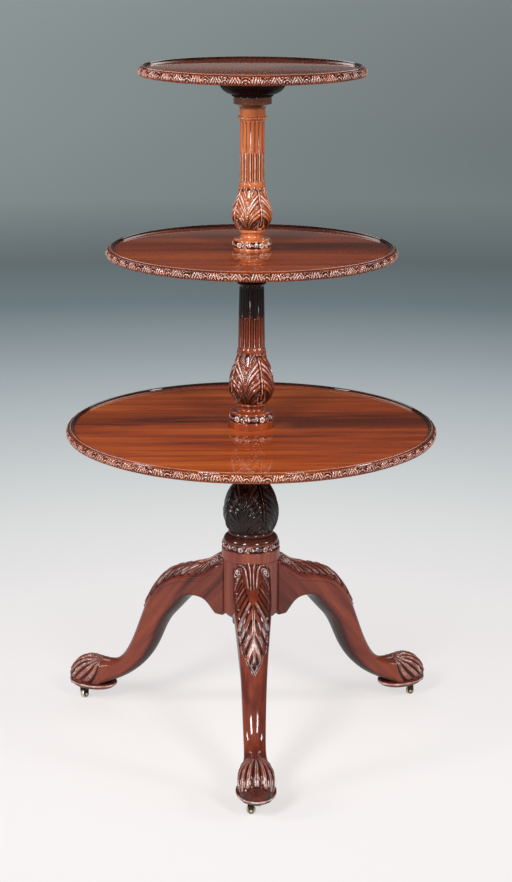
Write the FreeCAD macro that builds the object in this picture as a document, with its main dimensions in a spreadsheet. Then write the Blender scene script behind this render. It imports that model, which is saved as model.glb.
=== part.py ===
"""Three-tier dumbwaiter table in mahogany: round dished trays that turn on a carved stem, three
cabriole legs let into the stem's block with sliding dovetails, and a small brass caster under each foot.

Sizes are in millimetres. The origin lies on the floor below the stem, +Z is up, and the front leg
points along -Y.
"""
import FreeCAD, Part
import math
import os
import Sketcher

os.makedirs("parts", exist_ok=True)
document = FreeCAD.newDocument("dumbwaiter_table")
sheet = document.addObject("Spreadsheet::Sheet", "Sizes")


class Length:
    """A size: its number, and the formula over the sheet's cells that gives it."""

    def __init__(self, number, formula):
        self.number = number
        self.formula = formula

    @staticmethod
    def of(value):
        if isinstance(value, Length):
            return value
        return Length(float(value), f"({float(value)!r})")

    def __add__(self, other):
        other = Length.of(other)
        return Length(self.number + other.number, f"({self.formula} + {other.formula})")

    def __sub__(self, other):
        other = Length.of(other)
        return Length(self.number - other.number, f"({self.formula} - {other.formula})")

    def __mul__(self, other):
        other = Length.of(other)
        return Length(self.number * other.number, f"({self.formula} * {other.formula})")

    def __truediv__(self, other):
        other = Length.of(other)
        return Length(self.number / other.number, f"({self.formula} / {other.formula})")

    def __neg__(self):
        return Length(-self.number, f"(0 - {self.formula})")

    __radd__ = __add__
    __rmul__ = __mul__

    def __rsub__(self, other):
        return Length.of(other) - self


NONE = Length(0.0, "0")


def distance(across, along):
    """The length of the slope over two sides at right angles."""
    return Length(math.hypot(across.number, along.number),
                  f"sqrt({across.formula} ^ 2 + {along.formula} ^ 2)")


class Group:
    """The named sizes of one kind of piece, each in a cell of its own."""

    rows = 0

    def __init__(self, prefix, **numbers):
        for name, number in numbers.items():
            Group.rows += 1
            alias = f"{prefix}_{name}"
            sheet.set(f"A{Group.rows}", alias)
            sheet.set(f"B{Group.rows}", str(number))
            sheet.setAlias(f"B{Group.rows}", alias)
        sheet.recompute()
        for name in numbers:
            alias = f"{prefix}_{name}"
            setattr(self, name, Length(float(sheet.get(alias)), f"{sheet.Name}.{alias}"))


# The clearances between the pieces
clearance = Group(
    "clearance",
    running=0.05,      # round a journal, pin or axle that turns in its bore
    thrust=0.3,        # between faces that turn over each other
    glued=0.04,        # round a tenon or a tongue in its socket
    screw=0.05,        # round a screw in its hole
    overrun=1.0,       # how far a cut runs past the face that it opens
)

# The trays: rim_top is the height of the rim above the floor
TRAY_NAMES = ("lower", "middle", "upper")
trays = {
    "lower": Group("lower_tray", radius=330.0, rim_top=592.4, board=20.0),
    "middle": Group("middle_tray", radius=255.0, rim_top=913.2, board=18.0, bowl_height=23.0),
    "upper": Group("upper_tray", radius=196.5, rim_top=1226.0, board=18.0, bowl_height=34.2),
}
rim = Group(
    "rim",
    dish_depth=4.0,
    width=15.0,
    band_height=16.7,
    band_bulge=3.5,
    bead_width=6.0,
    bead_height=2.6,
    under_cove=7.0,
    seat_depth=1.0,
    seat_margin=0.5,
)
CAVETTO_SHARE = 0.3

# The turned bearers under the trays, and the journals and tenons that hold the stem together
bearer = Group(
    "bearer",
    lip=3.0,
    lip_radius=36.0,
    bowl_radius=59.0,
    flange=6.0,
    flange_radius=74.0,
    flange_round=2.6,
    pin_radius=11.0,
    pin_length=38.0,
)
BOWL_SHARES = (0.66, 0.28)
joint = Group("joint", journal_radius=15.0, tenon_radius=10.0, tenon_length=30.0, socket_spare=0.5)

# The bearer's screws, four to a tray
tray_screw = Group(
    "tray_screw",
    circle_radius=66.0,
    head_radius=3.8,
    head_height=2.0,
    head_sunk=1.5,
    shank_radius=2.0,
    bite=8.0,
)
TRAY_SCREWS = 4

# The stem's two fluted columns, from the foot up
columns = {
    "middle": Group(
        "middle_column",
        foot_radius=40.1, foot_band=12.0,
        ring_radius=39.0, ring_edge=37.2, ring_height=14.8, shoulder=3.0,
        scotia_edge=27.5, scotia_radius=22.5, scotia_height=11.1,
        fillet_radius=28.6, fillet_height=4.2,
        vase_foot=24.5, belly_radius=38.8, belly_rise=28.0, vase_rise=61.0,
        band_radius=24.8, band_height=9.0,
        shaft_foot=23.9, shaft_top=21.6,
        bead_radius=25.6, bead_height=5.0, neck_radius=22.5, neck_height=7.0,
        flare_radius=31.0, flare_height=4.0, drum_radius=33.4, drum_height=10.0,
        flute_radius=3.6, flute_out=0.9, flute_margin=5.0, reed_radius=2.5, reed_rise=54.0,
    ),
    "upper": Group(
        "upper_column",
        foot_radius=33.3, foot_band=3.2,
        ring_radius=34.0, ring_edge=32.4, ring_height=13.4, shoulder=2.4,
        scotia_edge=23.5, scotia_radius=19.6, scotia_height=12.2,
        fillet_radius=23.8, fillet_height=4.2,
        vase_foot=20.6, belly_radius=33.6, belly_rise=23.6, vase_rise=47.8,
        band_radius=22.5, band_height=8.6,
        shaft_foot=21.7, shaft_top=21.2,
        bead_radius=25.7, bead_height=6.0, neck_radius=22.6, neck_height=12.0,
        flare_radius=30.5, flare_height=8.6, drum_radius=33.5, drum_height=13.0,
        flute_radius=3.4, flute_out=0.9, flute_margin=5.0, reed_radius=2.35, reed_rise=50.0,
    ),
}
FLUTES = 16
DIAGONAL_SHARE = math.sqrt(0.5)
VASE_TURN_SHARES = {"middle": 0.78, "upper": 0.56}

# The pillar, from the block's underside up
pillar = Group(
    "pillar",
    block_foot=233.0, block_edge=41.0, block_round=12.0, block_radius=50.0, block_height=106.5,
    collar_radius=52.8, collar_cove=3.8, collar_height=19.0,
    ring_radius=52.2, ring_edge=50.0, ring_height=13.6,
    shoulder_radius=38.2, shoulder=11.0,
    fillet_radius=40.8, fillet_height=8.4,
    vase_foot=39.4, belly_radius=48.7, belly_rise=31.8, vase_rise=77.6,
    band_radius=26.0, bead_radius=29.0, bead_height=5.0, neck_radius=25.0, neck_height=5.0,
    flare_radius=31.5, flare_height=5.0, drum_radius=34.0, drum_height=14.0,
)
PILLAR_TURN_SHARE = 0.62

# The legs, and the dovetail that holds them
leg = Group("leg", reach=393.0, joint_height=108.7, width=69.0)
foot = Group(
    "foot",
    length=98.0,
    width=70.0,
    rim_height=3.4,
    under_height=6.0,
    under_set_back=4.6,
    caster_set_back=37.0,
)
dovetail = Group("dovetail", depth=16.0, neck=18.0, tail=26.0, shoulder=12.0, root=3.4)
AZIMUTHS = {"front": -90.0, "right": 30.0, "left": 150.0}
TRAIL_AZIMUTHS = {"front": 180.0, "right": 0.0, "left": 215.0}

# Sections along the leg, from the block to the toe. Each has the top and the underside of the leg, as
# shares of its reach and of its height above the sole, then its width and how far its top and its
# underside are crowned, as shares of the leg's width and of the section's own width.
LEG_SECTION_SHARES = (
    ((0.100, 1.010), (0.100, 0.6000), 1.000, 0.20, 0.01),
    ((0.150, 0.995), (0.150, 0.6480), 1.000, 0.37, 0.02),
    ((0.202, 0.950), (0.190, 0.7010), 1.000, 0.40, 0.04),
    ((0.272, 0.915), (0.240, 0.7200), 0.995, 0.38, 0.08),
    ((0.385, 0.868), (0.310, 0.6950), 0.935, 0.35, 0.12),
    ((0.470, 0.790), (0.376, 0.6100), 0.835, 0.31, 0.12),
    ((0.530, 0.682), (0.430, 0.5340), 0.745, 0.25, 0.12),
    ((0.582, 0.535), (0.472, 0.4450), 0.660, 0.23, 0.12),
    ((0.630, 0.385), (0.520, 0.3160), 0.605, 0.24, 0.12),
    ((0.684, 0.262), (0.592, 0.1960), 0.565, 0.24, 0.14),
    ((0.742, 0.200), (0.684, 0.1040), 0.555, 0.24, 0.14),
    ((0.796, 0.188), (0.770, 0.0450), 0.620, 0.26, 0.10),
    ((0.842, 0.184), (0.836, 0.0080), 0.760, 0.28, 0.04),
    ((0.896, 0.184), (0.896, 0.0040), 0.860, 0.32, 0.02),
    ((0.945, 0.158), (0.945, 0.0040), 0.780, 0.36, 0.02),
    ((0.978, 0.108), (0.978, 0.0060), 0.560, 0.36, 0.02),
    ((0.994, 0.058), (0.994, 0.0160), 0.260, 0.30, 0.02),
)

# How far out the leg's underside is sawn flat, level with the block's, as a share of the reach
FLAT_SHARE = 0.16

# The iron brace under the block, and its screws
brace = Group("brace", thickness=2.5, hub_radius=36.0, arm_width=22.0, arm_reach=56.0)
brace_screw = Group(
    "brace_screw",
    inner_circle=27.0,
    outer_circle=46.0,
    head_radius=3.8,
    head_height=1.6,
    shank_radius=2.0,
    bite=17.0,
)

# The casters: a screwed plate, a fork that swivels on a riveted pin, and a roller on its axle
caster = Group(
    "caster",
    plate_radius=15.0, plate_thickness=2.5,
    screw_circle=10.5, screw_head_radius=2.3, screw_head=0.8, screw_radius=1.2, screw_bite=8.0,
    pin_radius=3.0, pin_head_radius=5.0, pin_head=2.0, pin_foot_radius=4.4, pin_foot=0.9,
    pocket_radius=6.0, pocket_depth=3.2,
    crown_thickness=3.0, crown_front=7.5, boss_radius=6.0,
    cheek=1.8, cheek_gap=0.4, cheek_end=4.4, cheek_top_back=5.8, cheek_top_front=5.0,
    trail=9.0, wheel_radius=8.0, wheel_width=10.0, wheel_round=1.8, wheel_room=1.5, pad_height=29.0,
    axle_radius=1.5, axle_head_radius=2.6, axle_head=0.8,
)
PLATE_SCREWS = 3


class Outline:
    """A closed outline in one sketch: every corner, and a point on every arc, is held by the sheet."""

    def __init__(self, across, along):
        self.corners = [(Length.of(across), Length.of(along))]
        self.middles = []

    def line(self, across, along):
        self.corners.append((Length.of(across), Length.of(along)))
        self.middles.append(None)
        return self

    def arc(self, middle, across, along):
        self.corners.append((Length.of(across), Length.of(along)))
        self.middles.append(middle)
        return self

    def up(self, rise):
        across, along = self.corners[-1]
        return self.line(across, along + rise)

    def across(self, to):
        return self.line(to, self.corners[-1][1])

    def bulge(self, to, rise):
        """A half-round bead or hollow that goes out or in to one radius and comes back."""
        across, along = self.corners[-1]
        return self.arc((to, along + rise / 2), across, along + rise)

    def astragal(self, to, rise):
        """A half-round bead that stands out to a radius, on a narrow fillet each side."""
        return self.across(to - rise / 2).bulge(to, rise)

    def curve(self, across, rise, upright):
        """An arc that runs upright at its start or at its end."""
        start, foot_level = self.corners[-1]
        width = across - start
        chord = distance(width, rise)
        sway = chord * (chord - rise) / (width * 2)
        top_level = foot_level + rise
        if upright == "start":
            return self.arc((start + sway, foot_level + chord / 2), across, top_level)
        return self.arc((across - sway, top_level - chord / 2), across, top_level)

    def ogee(self, across, rise, turn_share):
        """Two arcs, upright at both ends, that meet at a share of the way."""
        start = self.corners[-1][0]
        self.curve(start + (across - start) * turn_share, rise * turn_share, "start")
        return self.curve(across, rise * (1 - turn_share), "end")

    def draw(self, sketch):
        points = [FreeCAD.Vector(across.number, along.number, 0) for across, along in self.corners]
        if self.corners[0][0].number == self.corners[-1][0].number and points[0] == points[-1]:
            self.corners.pop()
            points.pop()
        else:
            self.middles.append(None)
        count = len(points)
        edges = []
        for index, middle in enumerate(self.middles):
            start, end = points[index], points[(index + 1) % count]
            if middle is None:
                edges.append(Part.LineSegment(start, end))
            else:
                through = FreeCAD.Vector(middle[0].number, middle[1].number, 0)
                edges.append(Part.Arc(start, through, end))
        first = sketch.addGeometry(edges, False)[0]
        ends = [drawn_ends(sketch, first + index, points[index]) for index in range(count)]
        for index in range(count):
            following = (index + 1) % count
            sketch.addConstraint(Sketcher.Constraint(
                "Coincident", first + index, ends[index][1], first + following, ends[following][0]))
        for index, corner in enumerate(self.corners):
            hold(sketch, first + index, ends[index][0], corner)
        for index, middle in enumerate(self.middles):
            if middle is None:
                continue
            mark = sketch.addGeometry(Part.Point(FreeCAD.Vector(middle[0].number, middle[1].number, 0)), True)
            sketch.addConstraint(Sketcher.Constraint("PointOnObject", mark, 1, first + index))
            hold(sketch, mark, 1, middle)


def drawn_ends(sketch, edge, start):
    """Which end of an edge is which: an arc is kept anticlockwise, whichever way it was drawn."""
    if (sketch.getPoint(edge, 1) - start).Length <= (sketch.getPoint(edge, 2) - start).Length:
        return 1, 2
    return 2, 1


def hold(sketch, geometry, position, place):
    """Hold a point at its place, both ways, by the sheet's formulas."""
    for kind, value in zip(("DistanceX", "DistanceY"), place):
        index = sketch.addConstraint(
            Sketcher.Constraint(kind, -1, 1, geometry, position, value.number))
        sketch.setExpression(f"Constraints[{index}]", value.formula)


def origin_part(body, role):
    return next(item for item in body.Origin.OriginFeatures if item.Role == role)


def new_body(name):
    body = document.addObject("PartDesign::Body", name)
    body.Label = name
    body.AllowCompound = True
    return body


def new_sketch(body, name, plane, outlines, height=None, circles=(), axis=None):
    """A sketch on one of the body's planes, raised by a height, with its outlines and circles."""
    sketch = body.newObject("Sketcher::SketchObject", name)
    sketch.AttachmentSupport = [(origin_part(body, plane), "")]
    sketch.MapMode = "FlatFace"
    if height is not None:
        sketch.AttachmentOffset = FreeCAD.Placement(
            FreeCAD.Vector(0, 0, height.number), FreeCAD.Rotation())
        sketch.setExpression("AttachmentOffset.Base.z", height.formula)
    if axis is not None:
        line = sketch.addGeometry(Part.LineSegment(*[
            FreeCAD.Vector(across.number, along.number, 0) for across, along in axis]), True)
        hold(sketch, line, 1, axis[0])
        hold(sketch, line, 2, axis[1])
    for outline in outlines:
        outline.draw(sketch)
    for radius, across, along in circles:
        circle = sketch.addGeometry(Part.Circle(
            FreeCAD.Vector(across.number, along.number, 0), FreeCAD.Vector(0, 0, 1), radius.number), False)
        hold(sketch, circle, 3, (across, along))
        index = sketch.addConstraint(Sketcher.Constraint("Radius", circle, radius.number))
        sketch.setExpression(f"Constraints[{index}]", radius.formula)
    return sketch


def turn(body, name, sketch, cut=False, axis="V_Axis"):
    feature = body.newObject("PartDesign::Groove" if cut else "PartDesign::Revolution", name)
    feature.Profile = sketch
    feature.ReferenceAxis = (sketch, [axis])
    feature.Angle = 360
    return feature


def pad(body, name, sketch, length, both_ways=False):
    feature = body.newObject("PartDesign::Pad", name)
    feature.Profile = sketch
    feature.setExpression("Length", length.formula)
    feature.Midplane = both_ways
    return feature


def pocket(body, name, sketch, length, both_ways=False):
    """A cut that goes up from its sketch, or both ways."""
    feature = body.newObject("PartDesign::Pocket", name)
    feature.Profile = sketch
    feature.setExpression("Length", length.formula)
    feature.Midplane = both_ways
    feature.Reversed = not both_ways
    return feature


def round_pattern(body, name, originals, count):
    feature = body.newObject("PartDesign::PolarPattern", name)
    feature.Originals = originals
    feature.Axis = (origin_part(body, "Z_Axis"), [""])
    feature.Angle = 360
    feature.Occurrences = count
    body.Tip = feature
    return feature


def place(body, across, along, level, rotation):
    """Put a body at its place, with the place held by the sheet."""
    body.Placement = FreeCAD.Placement(
        FreeCAD.Vector(across.number, along.number, level.number), rotation)
    for letter, value in zip("xyz", (across, along, level)):
        body.setExpression(f"Placement.Base.{letter}", value.formula)


def turned_about_z(degrees):
    return FreeCAD.Rotation(FreeCAD.Vector(0, 0, 1), degrees)


# Levels that several pieces share
block_foot = pillar.block_foot
block_top = block_foot + pillar.block_height
leg_top = block_foot + leg.joint_height
dish_level = {name: tray.rim_top - rim.dish_depth for name, tray in trays.items()}
underside = {name: tray.rim_top - tray.board for name, tray in trays.items()}
foot_level = {
    "middle": dish_level["lower"] - rim.seat_depth + clearance.thrust,
    "upper": dish_level["middle"] - rim.seat_depth + clearance.thrust,
}


def stacked(level, *heights):
    """The level on top of turned members that stand on each other."""
    for height in heights:
        level = level + height
    return level


pillar_top = stacked(
    block_foot, pillar.block_height, pillar.collar_cove, pillar.collar_height, pillar.ring_height,
    pillar.shoulder, pillar.fillet_height, pillar.belly_rise, pillar.vase_rise, pillar.bead_height,
    pillar.neck_height, pillar.flare_height, pillar.drum_height)
drum_top = {
    "lower": pillar_top,
    "middle": underside["middle"] - trays["middle"].bowl_height,
    "upper": underside["upper"] - trays["upper"].bowl_height,
}

journal_radius = joint.journal_radius - clearance.running


def make_column(name, below, above):
    """A fluted column: tenon and journal below, foot, ring, vase, fluted shaft, neck and drum above."""
    column = columns[name]
    body = new_body(f"{name}_column")
    seat = drum_top[below]
    foot_start = foot_level[name]
    top = drum_top[above]
    socket_depth = joint.tenon_length + joint.socket_spare
    socket_radius = joint.tenon_radius + clearance.glued
    if above == "upper":
        socket_depth = bearer.pin_length + joint.socket_spare
        socket_radius = bearer.pin_radius + clearance.running
    outline = Outline(NONE, seat - joint.tenon_length)
    outline.across(joint.tenon_radius).line(joint.tenon_radius, seat).across(journal_radius)
    outline.line(journal_radius, foot_start).across(column.foot_radius).up(column.foot_band)
    outline.across(column.ring_edge).bulge(column.ring_radius, column.ring_height)
    outline.curve(column.scotia_edge + (column.ring_edge - column.scotia_edge) / 2, column.shoulder, "start")
    outline.across(column.scotia_edge).bulge(column.scotia_radius, column.scotia_height)
    outline.bulge(column.fillet_radius, column.fillet_height).across(column.vase_foot)
    outline.curve(column.belly_radius, column.belly_rise, "end")
    outline.ogee(column.band_radius, column.vase_rise, VASE_TURN_SHARES[name]).up(column.band_height)
    outline.across(column.shaft_foot)
    shaft_foot = outline.corners[-1][1]
    head = column.bead_height + column.neck_height + column.flare_height + column.drum_height
    shaft_top = top - head
    outline.line(column.shaft_top, shaft_top).astragal(column.bead_radius, column.bead_height)
    outline.across(column.neck_radius).up(column.neck_height)
    outline.curve(column.flare_radius, column.flare_height, "start").across(column.drum_radius)
    outline.up(column.drum_height).across(socket_radius).line(socket_radius, top - socket_depth)
    outline.across(NONE)
    turn(body, f"{name}_turning", new_sketch(body, f"{name}_outline", "XZ_Plane", [outline]))

    # each flute is a rounded slot about an axis that leans with the shaft's taper
    lean = (column.shaft_top - column.shaft_foot) / (shaft_top - shaft_foot)

    def on_shaft(level, out):
        return column.shaft_foot + (level - shaft_foot) * lean + out, level

    def rounded_rod(label, low, high, radius, out, cut):
        start = on_shaft(low, out)
        end = on_shaft(high, out)
        rod_length = distance(end[0] - start[0], end[1] - start[1])
        along = ((end[0] - start[0]) / rod_length, (end[1] - start[1]) / rod_length)
        away = (along[1], -along[0])

        def rod_point(base, forward, sideways):
            return (base[0] + along[0] * forward + away[0] * sideways,
                    base[1] + along[1] * forward + away[1] * sideways)

        slot = Outline(*start)
        slot.arc(rod_point(start, radius * (1 - DIAGONAL_SHARE), radius * DIAGONAL_SHARE),
                 *rod_point(start, radius, radius))
        slot.line(*rod_point(end, -radius, radius))
        slot.arc(rod_point(end, -(radius * (1 - DIAGONAL_SHARE)), radius * DIAGONAL_SHARE), *end)
        sketch = new_sketch(body, f"{name}_{label}_outline", "XZ_Plane", [slot], axis=(start, end))
        first = turn(body, f"{name}_{label}", sketch, cut, axis="Axis0")
        round_pattern(body, f"{name}_{label}s", [first], FLUTES)

    flute_foot = shaft_foot + column.flute_margin - column.flute_radius / 2
    rounded_rod("flute", flute_foot, shaft_top - column.flute_margin + column.flute_radius / 2,
                column.flute_radius, column.flute_out, True)
    rounded_rod("reed", flute_foot, flute_foot + column.reed_rise, column.reed_radius,
                -column.reed_radius, False)
    return body


def make_pillar():
    """The lowest stem: block with three dovetail slots, collar, carved ring, vase, neck and drum."""
    body = new_body("pillar")
    socket_radius = joint.tenon_radius + clearance.glued
    outline = Outline(NONE, block_foot)
    outline.across(pillar.block_edge).curve(pillar.block_radius, pillar.block_round, "end")
    outline.up(pillar.block_height - pillar.block_round)
    outline.curve(pillar.collar_radius, pillar.collar_cove, "start").up(pillar.collar_height)
    outline.across(pillar.ring_edge).bulge(pillar.ring_radius, pillar.ring_height)
    outline.curve(pillar.shoulder_radius, pillar.shoulder, "start")
    outline.bulge(pillar.fillet_radius, pillar.fillet_height).across(pillar.vase_foot)
    outline.curve(pillar.belly_radius, pillar.belly_rise, "end")
    outline.ogee(pillar.band_radius, pillar.vase_rise, PILLAR_TURN_SHARE)
    outline.astragal(pillar.bead_radius, pillar.bead_height)
    outline.across(pillar.neck_radius).up(pillar.neck_height)
    outline.curve(pillar.flare_radius, pillar.flare_height, "start").across(pillar.drum_radius)
    outline.up(pillar.drum_height).across(socket_radius)
    outline.line(socket_radius, pillar_top - joint.tenon_length - joint.socket_spare).across(NONE)
    turn(body, "pillar_turning", new_sketch(body, "pillar_outline", "XZ_Plane", [outline]))
    slot_sketch = new_sketch(body, "slot_outline", "XY_Plane", [dovetail_outline(clearance.glued)],
                             height=block_foot - clearance.overrun)
    slot_height = leg.joint_height - dovetail.shoulder + clearance.glued + clearance.overrun
    slot = pocket(body, "slot", slot_sketch, slot_height)
    round_pattern(body, "slots", [slot], len(AZIMUTHS))
    hole_sketch = new_sketch(body, "block_hole_outline", "XY_Plane", [], height=block_foot,
                             circles=[(brace_screw.shank_radius + clearance.screw,
                                       brace_screw.inner_circle, NONE)])
    hole = pocket(body, "block_hole", hole_sketch, brace_screw.bite + clearance.overrun)
    round_pattern(body, "block_holes", [hole], len(AZIMUTHS))
    place(body, NONE, NONE, NONE, turned_about_z(AZIMUTHS["right"]))
    return body


def dovetail_outline(room):
    """The dovetail seen from above, pointing along +X, grown by the room round it."""
    root = pillar.block_radius + dovetail.root
    inner = pillar.block_radius - dovetail.depth
    neck = dovetail.neck / 2 + room
    tail = dovetail.tail / 2 + room
    outline = Outline(inner - room, -tail)
    outline.line(pillar.block_radius, -neck).line(root, -neck).line(root, neck)
    return outline.line(pillar.block_radius, neck).line(inner - room, tail)


def make_tray(name):
    """A dished tray with its moulded rim; the lower two are bored for the journal and seat a column."""
    tray = trays[name]
    body = new_body(f"{name}_tray")
    low = underside[name]
    dish = dish_level[name]
    edge = tray.radius - rim.band_bulge
    bead_outer = edge - rim.band_bulge / 2
    bead_inner = bead_outer - rim.bead_width
    shoulder_level = tray.rim_top - rim.bead_height
    if name == "upper":
        outline = Outline(NONE, low)
    else:
        outline = Outline(joint.journal_radius, low)
    outline.across(edge - rim.under_cove)
    band_foot = tray.rim_top - rim.band_height
    outline.curve(edge, band_foot - low, "start")
    outline.bulge(tray.radius, shoulder_level - band_foot).across(bead_outer)
    outline.arc((bead_outer - rim.bead_width / 2, tray.rim_top), bead_inner, shoulder_level)
    cavetto_width = rim.width - (tray.radius - bead_inner)
    outline.arc((bead_inner - cavetto_width * CAVETTO_SHARE, dish + (shoulder_level - dish) * CAVETTO_SHARE),
                tray.radius - rim.width, dish)
    if name == "upper":
        outline.across(NONE)
    else:
        above = {"lower": "middle", "middle": "upper"}[name]
        seat_radius = columns[above].foot_radius + rim.seat_margin
        outline.across(seat_radius).up(-rim.seat_depth).across(joint.journal_radius)
    turn(body, f"{name}_tray_turning", new_sketch(body, f"{name}_tray_outline", "XZ_Plane", [outline]))
    hole_sketch = new_sketch(body, f"{name}_pilot_outline", "XY_Plane", [], height=low,
                             circles=[(tray_screw.shank_radius + clearance.screw,
                                       tray_screw.circle_radius, NONE)])
    hole = pocket(body, f"{name}_pilot", hole_sketch, tray_screw.bite + clearance.overrun)
    round_pattern(body, f"{name}_pilots", [hole], TRAY_SCREWS)
    return body


def make_bearer(name):
    """The turned bowl that a tray is screwed to; it turns over the drum below."""
    body = new_body(f"{name}_bearer")
    low = drum_top[name] + clearance.thrust
    high = underside[name]
    bore = joint.journal_radius
    flange_level = high - bearer.flange
    if name == "upper":
        outline = Outline(NONE, drum_top[name] - bearer.pin_length)
        outline.across(bearer.pin_radius).line(bearer.pin_radius, low)
    else:
        outline = Outline(bore, low)
    outline.across(bearer.lip_radius).up(bearer.lip)
    bowl_width = bearer.bowl_radius - bearer.lip_radius
    bowl_foot = low + bearer.lip
    bowl_rise = flange_level - bowl_foot
    outline.arc((bearer.lip_radius + bowl_width * BOWL_SHARES[0], bowl_foot + bowl_rise * BOWL_SHARES[1]),
                bearer.bowl_radius, flange_level)
    outline.across(bearer.flange_radius - bearer.flange_round)
    outline.curve(bearer.flange_radius, bearer.flange, "end").across(NONE if name == "upper" else bore)
    turn(body, f"{name}_bearer_turning", new_sketch(body, f"{name}_bearer_outline", "XZ_Plane", [outline]))
    shank_sketch = new_sketch(body, f"{name}_shank_outline", "XY_Plane", [],
                              height=flange_level - clearance.overrun,
                              circles=[(tray_screw.shank_radius + clearance.screw,
                                        tray_screw.circle_radius, NONE)])
    shank = pocket(body, f"{name}_shank", shank_sketch, bearer.flange + clearance.overrun * 2)
    round_pattern(body, f"{name}_shanks", [shank], TRAY_SCREWS)
    head_sketch = new_sketch(body, f"{name}_head_outline", "XY_Plane", [],
                             height=flange_level - clearance.overrun,
                             circles=[(tray_screw.head_radius + clearance.screw,
                                       tray_screw.circle_radius, NONE)])
    head = pocket(body, f"{name}_head", head_sketch, tray_screw.head_sunk + clearance.overrun)
    round_pattern(body, f"{name}_heads", [head], TRAY_SCREWS)
    return body


def make_tray_screws(name):
    """Four round-headed wood screws that hold a tray to its bearer."""
    body = new_body(f"{name}_bearer_screws")
    head_top = underside[name] - bearer.flange + tray_screw.head_sunk
    tip = underside[name] + tray_screw.bite
    make_screw(body, f"{name}_bearer_screw", tray_screw, tray_screw.circle_radius, head_top, tip)
    round_pattern(body, f"{name}_bearer_screw_ring", [body.Tip], TRAY_SCREWS)
    return body


def make_screw(body, name, kind, across, head_top, tip):
    """One screw, head down, turned about its own upright axis."""
    point = kind.shank_radius * 2
    outline = Outline(across, head_top - kind.head_height)
    outline.arc((across + kind.head_radius * DIAGONAL_SHARE, head_top - kind.head_height * DIAGONAL_SHARE),
                across + kind.head_radius, head_top)
    outline.across(across + kind.shank_radius).line(across + kind.shank_radius, tip - point)
    outline.line(across, tip)
    sketch = new_sketch(body, f"{name}_outline", "XZ_Plane", [outline],
                        axis=((across, head_top - kind.head_height), (across, tip)))
    return turn(body, name, sketch, axis="Axis0")


def section_outline(width, depth, top_crown, under_crown):
    """A leg's section about its own centre: crowned top, upright sides and a softer underside."""
    half_width = width / 2
    half_depth = depth / 2
    side_top = half_depth - top_crown
    side_foot = under_crown - half_depth
    outline = Outline(-half_width, side_foot)
    outline.arc((NONE, -half_depth), half_width, side_foot).line(half_width, side_top)
    return outline.arc((NONE, half_depth), -half_width, side_top).line(-half_width, side_foot)


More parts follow.
